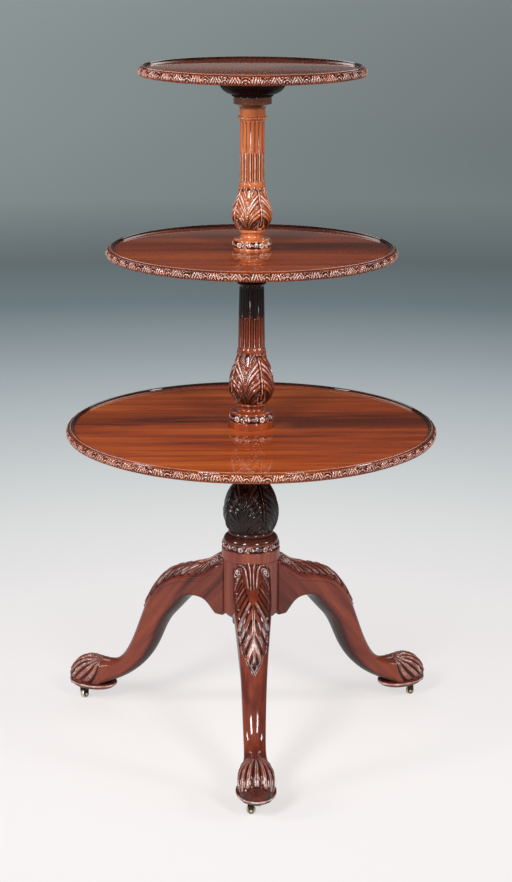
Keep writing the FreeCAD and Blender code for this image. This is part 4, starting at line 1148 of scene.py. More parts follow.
@dataclass
class FlutedColumn:
    """One of the two upper columns: foot band, carved ring, vase, stop-fluted shaft and drum."""

    node: str
    seat: float
    start: float
    top: float
    foot_radius: float
    foot_band: float
    ring_radius: float
    ring_edge: float
    ring_height: float
    shoulder: float
    scotia_edge: float
    scotia_radius: float
    scotia_height: float
    fillet_radius: float
    fillet_height: float
    vase_foot: float
    belly_radius: float
    belly_rise: float
    vase_rise: float
    vase_turn: float
    band_radius: float
    band_height: float
    shaft_foot: float
    shaft_top: float
    bead_radius: float
    bead_height: float
    neck_radius: float
    neck_height: float
    flare_radius: float
    flare_height: float
    drum_radius: float
    drum_height: float
    flute_radius: float
    reed_radius: float
    reed_rise: float
    socket_radius: float
    socket_depth: float
    finish: Finish
    painted_shade_length: float = 1.0
    painted_shade_rise_share: float = 0.42
    painted_shade_tone: float = -0.3
    flute_out: float = 0.9
    flute_margin: float = 5.0
    flute_end: float = 4.5
    reed_end: float = 3.2
    berries_end: float = 9.5
    journal: float = 14.95
    tenon_radius: float = 10.0
    tenon_length: float = 30.0

    def build(self) -> bpy.types.Object:
        """Draws the outline with a fine step where it is carved, and makes the piece.

        Returns:
            The new object.
        """
        line = Profile(0.0, self.seat - self.tenon_length)
        line.across(self.tenon_radius).line(self.tenon_radius, self.seat).across(self.journal)
        line.line(self.journal, self.start).across(self.foot_radius).up(self.foot_band)
        line.across(self.ring_edge).pace(0.8)
        ring_foot = line.here[1]
        line.bulge(self.ring_radius, self.ring_height).pace(1.3)
        line.curve(self.scotia_edge + (self.ring_edge - self.scotia_edge) / 2.0, self.shoulder, True)
        line.across(self.scotia_edge).bulge(self.scotia_radius, self.scotia_height)
        line.pace(0.7).bulge(self.fillet_radius, self.fillet_height).across(self.vase_foot).pace(0.8)
        vase_foot = line.here[1]
        line.curve(self.belly_radius, self.belly_rise, False)
        line.ogee(self.band_radius, self.vase_rise, self.vase_turn)
        vase_rise = line.here[1] - vase_foot
        line.up(self.band_height).across(self.shaft_foot)
        flutes, shaft_top = self.shaft(line)
        line.pace(0.6).astragal(self.bead_radius, self.bead_height).pace(1.5)
        line.across(self.neck_radius).up(self.neck_height)
        line.curve(self.flare_radius, self.flare_height, True).across(self.drum_radius)
        line.up(self.drum_height).across(self.socket_radius)
        line.line(self.socket_radius, self.top - self.socket_depth).across(NEAR_AXIS)
        # Painted shade: the flare and drum under the tray above are toned dark, and so is the top of the shaft for the
        # given length, the tray's shadow on the middle column.
        carvings = [
            RosetteRing(ring_foot, self.ring_height), VaseLeaves(vase_foot, vase_rise), flutes,
            Pearls(shaft_top, self.bead_height), PaintedShade(shaft_top + self.bead_height + self.neck_height),
            PaintedShade(self.top - self.painted_shade_length, self.painted_shade_rise_share * self.painted_shade_length, self.painted_shade_tone)]
        outline = line.points()
        outline[0, 0] = NEAR_AXIS
        return stem_piece(self.node, outline, carvings, self.finish, flutes)

    def shaft(self, line: Profile) -> tuple[StopFlutes, float]:
        """Draws the shaft, with points close together where flutes, reeds and berries end.

        Args:
            line: The outline, which has reached the shaft's foot.

        Returns:
            The shaft's flutes, and the level of its top.
        """
        foot = line.here[1]
        top = self.top - (self.bead_height + self.neck_height + self.flare_height + self.drum_height)
        flute_foot = foot + self.flute_margin - self.flute_radius / 2.0
        flute_top = top - self.flute_margin + self.flute_radius / 2.0
        reeds_top = flute_foot + self.reed_rise
        for level, step, fine in (
                (flute_foot, 2.0, False), (flute_foot + self.flute_end, 0.45, True),
                (reeds_top - self.reed_end, 2.0, False), (reeds_top + self.berries_end, 0.6, True),
                (flute_top - self.flute_end, 2.0, False), (flute_top, 0.45, True), (top, 2.0, False)):
            share = (level - foot) / (top - foot)
            line.pace(step).line(self.shaft_foot + (self.shaft_top - self.shaft_foot) * share, level, fine)
        return StopFlutes(flute_foot, flute_top, self.flute_radius, self.flute_out, self.reed_radius,
                          self.reed_rise), top


@dataclass
class Pillar:
    """The lowest turning: the legs' block, collar, carved ring, carved vase, neck and drum."""

    finish: Finish
    foot: float = 233.0
    top: float = 533.7
    block_edge: float = 41.0
    block_radius: float = 50.0
    block_round: float = 12.0
    block_height: float = 106.5
    collar_radius: float = 52.8
    collar_cove: float = 3.8
    collar_height: float = 19.0
    ring_edge: float = 50.0
    ring_radius: float = 52.2
    ring_height: float = 13.6
    rosettes: int = 7
    shoulder_radius: float = 38.2
    shoulder: float = 11.0
    fillet_radius: float = 40.8
    fillet_height: float = 8.4
    vase_foot: float = 39.4
    belly_radius: float = 48.7
    belly_rise: float = 31.8
    band_radius: float = 26.0
    vase_rise: float = 77.6
    vase_turn: float = 0.62
    bead_radius: float = 29.0
    bead_height: float = 5.0
    neck_radius: float = 25.0
    neck_height: float = 5.0
    flare_radius: float = 31.5
    flare_height: float = 5.0
    drum_radius: float = 34.0
    drum_height: float = 14.0
    socket_radius: float = 10.04
    socket_depth: float = 30.5
    painted_shade: float = 0.94

    def build(self) -> bpy.types.Object:
        """Draws the outline with a fine step where it is carved, and makes the piece.

        Returns:
            The new object.
        """
        line = Profile(NEAR_AXIS, self.foot).across(self.block_edge)
        line.curve(self.block_radius, self.block_round, False).up(self.block_height - self.block_round)
        line.pace(1.0).curve(self.collar_radius, self.collar_cove, True).up(self.collar_height)
        line.across(self.ring_edge).pace(0.8)
        ring_foot = line.here[1]
        line.bulge(self.ring_radius, self.ring_height).pace(1.2)
        line.curve(self.shoulder_radius, self.shoulder, True).pace(0.8)
        line.bulge(self.fillet_radius, self.fillet_height).across(self.vase_foot)
        vase_foot = line.here[1]
        line.curve(self.belly_radius, self.belly_rise, False)
        line.ogee(self.band_radius, self.vase_rise, self.vase_turn)
        vase_rise = line.here[1] - vase_foot
        line.pace(1.2).astragal(self.bead_radius, self.bead_height)
        line.across(self.neck_radius).up(self.neck_height)
        line.curve(self.flare_radius, self.flare_height, True).across(self.drum_radius)
        line.up(self.drum_height).across(self.socket_radius)
        line.line(self.socket_radius, self.top - self.socket_depth).across(NEAR_AXIS)
        # Painted shade: under the lower tray the pillar is toned dark from the ring's top upwards, and its vase is dark
        # but for its sharpest crests.
        carvings = [RosetteRing(ring_foot, self.ring_height, self.rosettes),
                    VaseLeaves(vase_foot, vase_rise, painted_shade=self.painted_shade),
                    PaintedShade(ring_foot + self.ring_height, 2.0)]
        return stem_piece("pillar", line.points(), carvings, self.finish)


# The trays

@dataclass
class Tray:
    """A round dished tray with a moulded edge carved with running foliage.

    Its tone is set by the moulding: pale along the outer half of the rim's bead, a painted
    highlight, dark in the cove inside it, dirt and painted shade, and dark on the ledge outside it.
    """

    name: str
    radius: float
    rim_top: float
    board: float
    columns: int
    cells: int
    finish: Finish
    seat_radius: float | None
    bore: float = 15.0
    dish_depth: float = 4.0
    width: float = 15.0
    band_height: float = 16.7
    bulge: float = 3.5
    bead_width: float = 6.0
    bead_height: float = 2.6
    cove: float = 7.0
    seat_depth: float = 1.0
    hollow_share: float = 0.3
    crest_share: float = 0.56
    crest_drop: float = 0.85
    ledge_width: float = 1.6
    ledge_drop: float = 1.0
    softness: float = 0.2

    def build(self) -> bpy.types.Object:
        """Draws the section from the underside's middle round to the dish, and turns it.

        Returns:
            The new object.
        """
        low, dish = self.rim_top - self.board, self.rim_top - self.dish_depth
        edge = self.radius - self.bulge
        bead_outer = edge - self.bulge / 2.0
        bead_inner = bead_outer - self.bead_width
        shoulder = self.rim_top - self.bead_height
        band_foot = self.rim_top - self.band_height
        bored = self.seat_radius is not None
        line = Profile(self.bore if bored else NEAR_AXIS, low, 1.6)
        line.across(edge - self.cove).curve(edge, band_foot - low, True).pace(0.88)
        line.bulge(self.radius, shoulder - band_foot).across(bead_outer).pace(1.0)
        line.arc((bead_outer - self.bead_width / 2.0, self.rim_top), bead_inner, shoulder)
        width = self.width - (self.radius - bead_inner)
        line.pace(1.6).arc((bead_inner - width * self.hollow_share,
                            dish + (shoulder - dish) * self.hollow_share), self.radius - self.width, dish)
        if bored:
            line.across(self.seat_radius).up(-self.seat_depth).across(self.bore)
        else:
            line.across(NEAR_AXIS)
        outline = line.points(self.softness)
        radii, levels = outline[:, :1], outline[:, 1:]
        even = np.arange(self.columns) * FULL_TURN / self.columns
        angles = np.broadcast_to(even, (len(outline), self.columns))
        height, tone = RimFoliage(band_foot, shoulder - band_foot, self.cells).carve(angles, radii, levels)
        outside = radii > edge - 0.5
        height, tone = height * outside, faded(tone, outside)
        # Painted highlight along the bead's outer half; the cove is toned dark, dirt and painted shade, and the ledge
        # dark.
        crest_line = bead_outer - self.bead_width * self.crest_share
        on_bead = (levels > self.rim_top - self.crest_drop) & (radii > crest_line)
        in_cove = (levels > dish + 0.02) & (radii <= crest_line)
        on_ledge = (levels > shoulder - self.ledge_drop) & (radii > bead_outer - self.ledge_width) & ~on_bead
        tone = np.where(on_bead, 0.84, np.where(in_cove, 0.12, np.where(on_ledge, 0.22, tone)))
        skin = Skin(turned(outline, angles, height), tone, Ends.JOINED if bored else Ends.CAPPED)
        return make_piece(f"{self.name}_dished", [skin], f"{self.name.split('_')[0]}_tier", self.finish,
                          [self.name])


# The legs

# A station is a leg's top point and underside point, as shares of its reach and height, its width
# as a share of the leg's, and the crowns of its top and underside as shares of its own width.
LEG_STATIONS = (
    ((0.100, 1.010), (0.100, 0.6000), 1.000, 0.20, 0.01),
    ((0.150, 0.995), (0.150, 0.6480), 1.000, 0.37, 0.02),
    ((0.202, 0.950), (0.190, 0.7010), 1.000, 0.40, 0.04),
    ((0.272, 0.915), (0.240, 0.7200), 0.995, 0.38, 0.08),
    ((0.385, 0.868), (0.310, 0.6950), 0.935, 0.35, 0.12),
    ((0.470, 0.790), (0.376, 0.6100), 0.835, 0.31, 0.12),
    ((0.530, 0.682), (0.430, 0.5340), 0.745, 0.25, 0.12),
    ((0.582, 0.535), (0.472, 0.4450), 0.660, 0.23, 0.12),
    ((0.630, 0.385), (0.520, 0.3160), 0.605, 0.24, 0.12),
    ((0.684, 0.262), (0.592, 0.1960), 0.565, 0.24, 0.14),
    ((0.742, 0.200), (0.684, 0.1040), 0.555, 0.24, 0.14),
    ((0.796, 0.188), (0.770, 0.0450), 0.620, 0.26, 0.10),
    ((0.842, 0.184), (0.836, 0.0080), 0.760, 0.28, 0.04),
    ((0.896, 0.184), (0.896, 0.0040), 0.860, 0.32, 0.02),
    ((0.945, 0.158), (0.945, 0.0040), 0.780, 0.36, 0.02),
    ((0.978, 0.108), (0.978, 0.0060), 0.560, 0.36, 0.02),
    ((0.994, 0.058), (0.994, 0.0160), 0.260, 0.30, 0.02),
)

# The moulded edge under a foot: share of the foot's size, level over the sole, and tone. The tone paints a highlight
# along the edge's upright face and leaves the rest darker.
FOOT_EDGE = (
    (0.001, 0.0, 0.4), (0.86, 0.0, 0.3), (0.875, 0.5, 0.3), (0.99, 5.3, 0.5), (1.0, 6.2, 0.85),
    (1.0, 8.6, 0.85), (0.985, 9.2, 0.7), (0.9, 9.4, 0.3), (0.001, 9.4, 0.2))


def smooth_through(knots: np.ndarray, values: np.ndarray, where: np.ndarray) -> np.ndarray:
    """Draws natural cubic curves through values.

    Between knots the value is the straight run plus (t^3 - t) h^2/6 times each end's second
    derivative, and these solve the equations that make the slope continuous.

    Args:
        knots: Rising places of the values.
        values: One row to a knot, one column to a curve.
        where: Places to read the curves at.

    Returns:
        One row to a place.
    """
    gaps = np.diff(knots)
    inner = len(knots) - 2
    matrix = np.eye(inner + 2)
    matrix[1:-1, 1:-1] = np.diag(2.0 * (gaps[:-1] + gaps[1:]))
    index = np.arange(1, inner + 1)
    matrix[index, index - 1] = gaps[:-1]
    matrix[index, index + 1] = gaps[1:]
    slopes = np.diff(values, axis=0) / gaps[:, None]
    right = np.zeros_like(values)
    right[1:-1] = 6.0 * np.diff(slopes, axis=0)
    bends = np.linalg.solve(matrix, right)
    cell = np.clip(np.searchsorted(knots, where, side="right") - 1, 0, inner)
    gap = gaps[cell][:, None]
    after = (where - knots[cell])[:, None] / gap
    before = 1.0 - after
    bent = bends[cell] * (before ** 3 - before) + bends[cell + 1] * (after ** 3 - after)
    return values[cell] * before + values[cell + 1] * after + gap ** 2 / 6.0 * bent


@dataclass(frozen=True)
class KneeLeaf:
    """The acanthus on a knee, over s along the leg's top line and w across it.

    Two C-scrolls stand at the top corners and their stems run down beside a double stalk, which
    parts round a plain diamond. Fronds slope steeply down and out on both sides, pillows along
    s - a|w| + b w^2 - c sqrt|w|, with a fine vein in each. They scallop the leaf's edge, which
    narrows to a pointed tip down the leg. A stalk's run is its place, half width, start and end.
    """

    pitch: float = 15.0
    stand: float = 1.1
    depth: float = 3.0
    tip: float = 239.0
    edges: tuple[Span, ...] = (
        (-20.0, 36.0), (18.0, 34.0), (60.0, 32.0), (112.0, 29.5), (160.0, 26.0), (188.0, 24.5),
        (203.0, 15.0), (218.0, 11.0), (226.0, 7.5), (239.0, 0.0))
    calm_edges: tuple[Span, ...] = ((8.0, 20.0), (28.0, 17.0), (58.0, 13.0), (84.0, 10.0), (100.0, -4.0))
    calm_starts: Span = (4.0, 12.0)
    stem_places: tuple[Span, ...] = ((-6.0, 24.0), (4.0, 15.0), (15.0, 11.0), (40.0, 8.2), (66.0, 7.0))
    slope: float = 2.3
    bend: float = 0.018
    root: float = 2.0
    frond_start: float = 0.2
    fronds_to_a_lobe: float = 3.0
    scallop: float = 3.5
    scallops_start: Span = (14.0, 40.0)
    scallops_end: Span = (205.0, 216.0)
    pointed: Span = (210.0, 218.0)
    tip_darkens: Span = (214.0, 222.0)
    stalk_runs: tuple[tuple[float, float, float, float], ...] = (
        (2.7, 1.6, 16.0, 74.0), (1.3, 1.5, 122.0, 226.0))
    diamond_place: float = 93.0
    diamond_halves: Span = (10.0, 23.0)
    scroll_place: Span = (13.0, 26.0)
    scroll_radius: float = 9.6
    scroll_pitch: float = 4.4
    knob_radius: float = 2.8
    start: Span = (-9.0, -5.0)

    def carve(self, along: np.ndarray, across: np.ndarray) -> Relief:
        """Cuts the leaf, its stalks, the diamond and the scrolls.

        Args:
            along: How far each point lies along the leg's top line.
            across: How far it lies to the side, round the leg.

        Returns:
            The height and tone over the whole leg.
        """
        side = np.abs(across)
        height, tone = self.leaf(along, side)
        ridge, trench = self.stalks(along, side)
        height = height * (1.0 - 0.8 * ridge) + 3.2 * ridge - 1.6 * trench
        tone = laid(tone, ridge, 0.93) * (1.0 - trench)
        diamond = side / self.diamond_halves[0] + np.abs(along - self.diamond_place) / self.diamond_halves[1]
        pad = ramp(1.0 - diamond, 0.0, 0.16)
        height, tone = laid(height, pad, 1.7), laid(tone, pad, 0.52)
        down, out = self.scroll_place
        away = np.hypot(along - down, side - out)
        coil = pillow(away / self.scroll_pitch + np.arctan2(along - down, side - out) / FULL_TURN, 0.8)
        scroll = ramp(self.scroll_radius - away, 0.0, 1.4)
        knob = bump(away / self.knob_radius)
        height = laid(height, scroll, 0.8 + 2.8 * np.maximum(coil, knob))
        tone = tone * (1.0 - scroll) + scroll * 0.97 * np.maximum(coil ** 1.3, knob)
        weight = ramp(along, *self.start)
        return height * weight, faded(np.clip(tone, 0.0, 1.0), weight)

    def leaf(self, along: np.ndarray, side: np.ndarray) -> Relief:
        """Cuts the fronds within their scalloped edge, calm ground at the top and the bright tip.

        Args:
            along: How far each point lies along the leg's top line.
            side: How far it lies from that line.

        Returns:
            The leaf's height and tone.
        """
        label = along - self.slope * side + self.bend * side ** 2 - self.root * np.sqrt(side)
        label = 150.0 * np.log1p(np.maximum(label, -140.0) / 170.0)
        count = label / self.pitch + self.frond_start
        frond, vein = pillow(count, 0.8), pillow(2.0 * count, 0.5)
        lobe = pillow(count / self.fronds_to_a_lobe, 0.4)
        edge = np.interp(along, *np.array(self.edges).T) + (
            self.scallop * (frond - 0.6) + self.scallop * (lobe - 0.6)) * ramp(
            along, *self.scallops_start) * (1.0 - ramp(along, *self.scallops_end))
        inside = ramp(edge - side, 0.0, 2.0) * (along < self.tip)
        rim = bump((side - edge - 0.8) / 1.9) * (along < self.tip + 2.0)
        cut = self.stand + self.depth * (frond + 0.5 * lobe - 0.7) - 0.6 * (1.0 - vein)
        height = inside * cut - 0.7 * rim
        tone = 0.98 * frond ** 2.2 * (0.6 + 0.4 * vein) * (0.45 + 0.55 * lobe)
        tone = PLAIN + inside * (tone - PLAIN) - 0.5 * rim

        within = np.interp(along, *np.array(self.calm_edges).T)
        calm = ramp(within - side, 0.0, 2.5) * ramp(along, *self.calm_starts)
        height = laid(height, calm, 2.2 - 0.12 * side)
        tone = laid(tone, calm, 0.56) - 0.5 * bump((side - within - 0.4) / 1.4) * (along > 12.0)
        point = bump((side - edge + 1.6) / 1.7) * ramp(along, *self.pointed) * (along < self.tip)
        tone = tone * (1.0 - point) * (1.0 - 0.8 * ramp(along, *self.tip_darkens) * inside) + 0.92 * point
        return height + point, tone

    def stalks(self, along: np.ndarray, side: np.ndarray) -> Relief:
        """Shapes the double stalk, the tip's rib and the stems that bear the scrolls.

        Args:
            along: How far each point lies along the leg's top line.
            side: How far it lies from that line.

        Returns:
            How much each point belongs to a ridge, and how much to a trench beside one.
        """
        lines = [bump((side - place) / reach) * ramp(along, start, start + 5.0)
                 * (1.0 - ramp(along, stop - 8.0, stop))
                 for place, reach, start, stop in self.stalk_runs]
        parted = 2.7 + 2.6 * np.clip(1.0 - along / 22.0, 0.0, 2.0)
        lines.append(bump((side - parted) / 1.8) * (1.0 - ramp(along, 18.0, 24.0)) * ramp(along, -8.0, -4.0))
        stem = np.interp(along, *np.array(self.stem_places).T)
        lines.append(bump((side - stem) / 2.3) * ramp(along, -7.0, -3.0) * (1.0 - ramp(along, 56.0, 72.0)))
        trench = np.maximum(bump(side / 1.2) * ramp(along, 14.0, 20.0) * (1.0 - ramp(along, 66.0, 72.0)),
                            bump((side - stem + 3.2) / 1.5) * (1.0 - ramp(along, 50.0, 66.0)))
        return np.maximum.reduce(lines), trench


@dataclass(frozen=True)
class FootLeaf:
    """The fan of fronds over a foot, spread from the ankle and scalloped over the toe.

    The fronds are pillows along the turn about the ankle, which bends a little as they run out.
    A small drilled eye with a raised lip stands on each side of the foot.
    """

    ankle: float = 392.0
    spread: float = 0.25
    swirl: float = 0.22
    depth: float = 3.2
    reach: float = 79.0
    drawn_in: float = 8.0
    scallop: float = 5.0
    eye_place: Span = (448.0, 36.0)
    eye_radius: float = 3.4
    lip_radius: float = 5.0
    lip_half: float = 1.8

    def carve(self, along: np.ndarray, across: np.ndarray) -> Relief:
        """Cuts the fan and the eyes, and leaves the toe's end bare and dark.

        Args:
            along: How far each point lies along the leg's top line.
            across: How far it lies to the side, round the leg.

        Returns:
            The height and tone over the whole leg.
        """
        away = np.hypot(along - self.ankle, across)
        turn = np.arctan2(np.abs(across), along - self.ankle)
        count = (turn + self.swirl * (away / self.reach) ** 2 * np.sin(turn)) / self.spread + 0.5
        frond, vein = pillow(count, 0.8), pillow(2.0 * count, 0.6)
        end = self.reach - self.drawn_in * turn ** 2 + self.scallop * (frond - 0.5)
        inside = ramp(end - away, 0.0, 2.0) * (1.0 - ramp(turn, 1.32, 1.5)) * ramp(away, 3.0, 16.0)
        rim = bump((away - end - 0.8) / 1.8) * (1.0 - ramp(turn, 1.2, 1.4)) * (along > self.ankle)
        swell = 0.35 + 0.65 * ramp(away, 6.0, 40.0)
        height = inside * (0.6 + self.depth * (frond - 0.35) * swell - 0.7 * (1.0 - vein) * swell) - 0.5 * rim
        bare = ramp(away, self.reach - 2.0, self.reach + 4.0) * (1.0 - inside) * (along > self.ankle)
        tone = PLAIN + inside * (frond ** 1.7 * (0.5 + 0.5 * vein) - 0.48) - 0.45 * rim - 0.26 * bare
        eye = np.hypot(along - self.eye_place[0], np.abs(across) - self.eye_place[1])
        pit = bump(eye / self.eye_radius)
        lip = bump((eye - self.lip_radius) / self.lip_half)
        return height - 1.4 * pit + 1.0 * lip, np.clip(tone * (1.0 - pit) + 0.35 * lip, 0.0, 1.0)


@dataclass
class Leg:
    """A cabriole leg with its carved knee and foot, and the moulded edge under the foot."""

    name: str
    azimuth: float
    finish: Finish
    reach: float = 393.0
    width: float = 69.0
    sole: float = 29.0
    top: float = 341.7
    underside: float = 233.0
    flat_reach: float = 61.0
    block_radius: float = 50.0
    foot_length: float = 98.0
    foot_width: float = 70.0
    edge_points: int = 144
    top_columns: int = 120
    side_columns: int = 20
    under_columns: int = 40
    carved_step: float = 0.86
    plain_step: float = 4.0
    plain: Span = (240.0, 372.0)
    least_crown: float = 0.05
    roundings: int = 10
    roll_inset: float = 4.5
    roll_half: float = 5.5
    roll_starts: Span = (-4.0, 8.0)
    roll_ends: Span = (170.0, 230.0)
    quirk_outset: float = 2.2
    quirk_half: float = 1.6
    underside_shade_span: Span = (0.2, 1.0)
    underside_shade_starts: Span = (30.0, 110.0)
    knee: KneeLeaf = field(default_factory=KneeLeaf)
    toe: FootLeaf = field(default_factory=FootLeaf)

    def stations(self) -> tuple[np.ndarray, np.ndarray]:
        """Reads the leg's sections at many places along it, close together where it is carved.

        Returns:
            The places along the top line, 0 where it leaves the block, and for each the top and
            underside points, the width and the two crowns.
        """
        rows = np.array([[*top, *low, width, width * crown, width * under]
                         for top, low, width, crown, under in LEG_STATIONS])
        height = self.top - self.sole
        rows[:, [0, 2]] *= self.reach
        rows[:, [1, 3]] = self.sole + rows[:, [1, 3]] * height
        rows[:, 4:] *= self.width
        centres = (rows[:, :2] + rows[:, 2:4]) / 2.0
        knots = np.append(0.0, np.cumsum(np.linalg.norm(np.diff(centres, axis=0), axis=1)))
        fine = smooth_through(knots, rows, np.linspace(0.0, knots[-1], 4001))
        run = np.append(0.0, np.cumsum(np.linalg.norm(np.diff(fine[:, :2], axis=0), axis=1)))
        run -= np.interp(self.block_radius, fine[:, 0], run)
        end = run[-1]
        start, stop = self.plain
        places = np.concatenate([
            np.arange(run[0], start, self.carved_step), np.arange(start + 1.0, stop, self.plain_step),
            np.arange(stop + 1.0, end - 0.3, self.carved_step), [end]])
        return places, np.stack([np.interp(places, run, fine[:, column]) for column in range(7)], axis=1)

    def section(self, rows: np.ndarray) -> tuple[np.ndarray, np.ndarray]:
        """Draws each section as a loop: over the top, down a side, under and up the other side.

        A crowned edge of width W and crown c is an arc of radius (c^2 + W^2/4) / 2c. The corners
        are then rounded by averaging each point with its neighbours along the loop.

        Args:
            rows: What stations() gives for each section.

        Returns:
            How far each point is to the side, and its height from the section's middle.
        """
        half = rows[:, 4:5] / 2.0
        depth = np.linalg.norm(rows[:, :2] - rows[:, 2:4], axis=1)[:, None] / 2.0
        crowns = np.maximum(rows[:, 5:6], self.least_crown), np.maximum(rows[:, 6:7], self.least_crown)
        share = np.linspace(0.0, 1.0, self.side_columns + 1)[None, :-1]
        parts = []
        for (crown, other), count, sign in ((crowns, self.top_columns, 1.0),
                                            (crowns[::-1], self.under_columns, -1.0)):
            size = (crown ** 2 + half ** 2) / (2.0 * crown)
            opening = np.arcsin(np.clip(half / size, 0.0, 1.0))
            swing = opening * np.linspace(sign, -sign, count + 1)[None, :-1]
            parts.append((size * np.sin(swing), sign * (depth - size * (1.0 - np.cos(swing)))))
            start, stop = sign * (depth - crown), -sign * (depth - other)
            parts.append((-sign * half + 0.0 * share, start + (stop - start) * share))
        loops = [np.concatenate(together, axis=1) for together in zip(*parts)]
        for _ in range(self.roundings):
            loops = [(np.roll(loop, 1, axis=1) + 2.0 * loop + np.roll(loop, -1, axis=1)) / 4.0
                     for loop in loops]
        return loops[0], loops[1]

    def shank(self) -> Skin:
        """Builds the leg itself, with its carving along the surface's own normals.

        Returns:
            The leg's skin, on its own plane: X outwards and Z up.
        """
        places, rows = self.stations()
        side, rise = self.section(rows)
        middle = (rows[:, :2] + rows[:, 2:4]) / 2.0
        up = rows[:, :2] - rows[:, 2:4]
        up /= np.linalg.norm(up, axis=1, keepdims=True)
        points = np.stack([middle[:, :1] + rise * up[:, :1], side, middle[:, 1:] + rise * up[:, 1:]], axis=-1)
        across = self.round_way(points)
        along = np.broadcast_to(places[:, None], across.shape)
        # Painted shade: the leg's underside is toned darker, fading in along the leg below the knee.
        beneath = -rise / np.abs(rise).max(axis=1, keepdims=True)
        painted_underside_shade = ramp(beneath, *self.underside_shade_span) * ramp(along, *self.underside_shade_starts)
        roll, quirk = self.moulded(along, across, rows)
        height, tone = layered(self.knee.carve(along, across), self.toe.carve(along, across),
                               (1.5 * roll - 0.3 * quirk, PLAIN - 0.3 * quirk - 0.34 * painted_underside_shade))
        ahead = np.roll(points, -1, axis=1) - np.roll(points, 1, axis=1)
        normals = np.cross(ahead, np.gradient(points, axis=0))
        normals /= np.maximum(np.linalg.norm(normals, axis=2, keepdims=True), 1e-9)
        points = points + normals * height[..., None]
        inner = points[..., 0] < self.flat_reach + 1.0
        points[..., 2] = np.where(inner, np.maximum(points[..., 2], self.underside), points[..., 2])
        return Skin(points, tone)

    def round_way(self, points: np.ndarray) -> np.ndarray:
        """Measures round each section from the middle of its top.

        Args:
            points: The leg's plain surface.

        Returns:
            How far each point lies to the side, negative on one side of the leg.
        """
        top = self.top_columns // 2
        steps = np.linalg.norm(np.diff(points, axis=1), axis=2)
        across = np.concatenate([np.zeros((len(points), 1)), np.cumsum(steps, axis=1)], axis=1)
        across = across - across[:, top:top + 1]
        loop = across[:, -1:] - across[:, :1] + np.linalg.norm(points[:, 0] - points[:, -1], axis=1)[:, None]
        return (across + loop / 2.0) % loop - loop / 2.0

    def moulded(self, along: np.ndarray, across: np.ndarray,
                rows: np.ndarray) -> tuple[np.ndarray, np.ndarray]:
        """Places the roll that borders the knee along its arris, and the dark quirk under it.

        Args:
            along: How far each point lies along the leg's top line.
            across: How far it lies to the side, round the leg.
            rows: What stations() gives for each section.

        Returns:
            How much each point belongs to the roll, and how much to the quirk.
        """
        half, crown = rows[:, 4:5] / 2.0, rows[:, 5:6]
        size = (crown ** 2 + half ** 2) / (2.0 * crown)
        arris = size * np.arcsin(np.clip(half / size, 0.0, 1.0))
        down = ramp(along, *self.roll_starts) * (1.0 - ramp(along, *self.roll_ends))
        roll = bump((np.abs(across) - arris + self.roll_inset) / self.roll_half) * down
        quirk = bump((np.abs(across) - arris - self.quirk_outset) / self.quirk_half) * down
        return roll, quirk

    def edge(self) -> Skin:
        """Builds the foot's moulded edge: ovals that grow from the sole, then stand upright.

        Returns:
            The edge's skin, on the leg's own plane.
        """
        share, level, tone = np.array(FOOT_EDGE).T[:, :, None]
        turn = np.arange(self.edge_points) * FULL_TURN / self.edge_points
        points = np.stack([
            self.reach - self.foot_length / 2.0 + share * self.foot_length / 2.0 * np.cos(turn),
            share * self.foot_width / 2.0 * np.sin(turn),
            np.broadcast_to(self.sole + level, (len(level), len(turn)))], axis=-1)
        return Skin(points, np.broadcast_to(tone, points.shape[:2]))

    def build(self) -> bpy.types.Object:
        """Turns both skins to the leg's own direction and makes the piece.

        Returns:
            The new object.
        """
        angle = math.radians(self.azimuth)
        turn = np.array([[math.cos(angle), math.sin(angle), 0.0],
                         [-math.sin(angle), math.cos(angle), 0.0], [0.0, 0.0, 1.0]])
        skins = [self.shank(), self.edge()]
        for skin in skins:
            skin.points = skin.points @ turn
        return make_piece(f"{self.name}_leg_carved", skins, "stand", self.finish, [f"{self.name}_leg"])


# The studio

FLOOR_STOPS = (
    (0.0, paint(243, 239, 237)), (0.034, paint(239, 236, 236)), (0.044, paint(230, 229, 229)),
    (0.060, paint(215, 218, 217)), (0.080, paint(196, 201, 203)), (0.104, paint(173, 181, 184)),
    (0.132, paint(143, 153, 158)), (0.164, paint(108, 121, 126)), (0.200, paint(97, 107, 109)),
    (0.270, paint(122, 132, 133)), (0.450, paint(128, 137, 138)), (0.990, paint(134, 143, 144)))
WALL_STOPS = (
    (0.0, paint(122, 128, 128)), (0.08, paint(110, 113, 112)), (0.12, paint(70, 70, 69)),
    (0.155, paint(36, 33, 32)), (0.30, paint(30, 28, 28)), (1.0, paint(28, 26, 26)))
BACKDROP = paint(134, 143, 144)
DAYLIGHT: Colour = (0.92, 0.96, 1.0, 1.0)


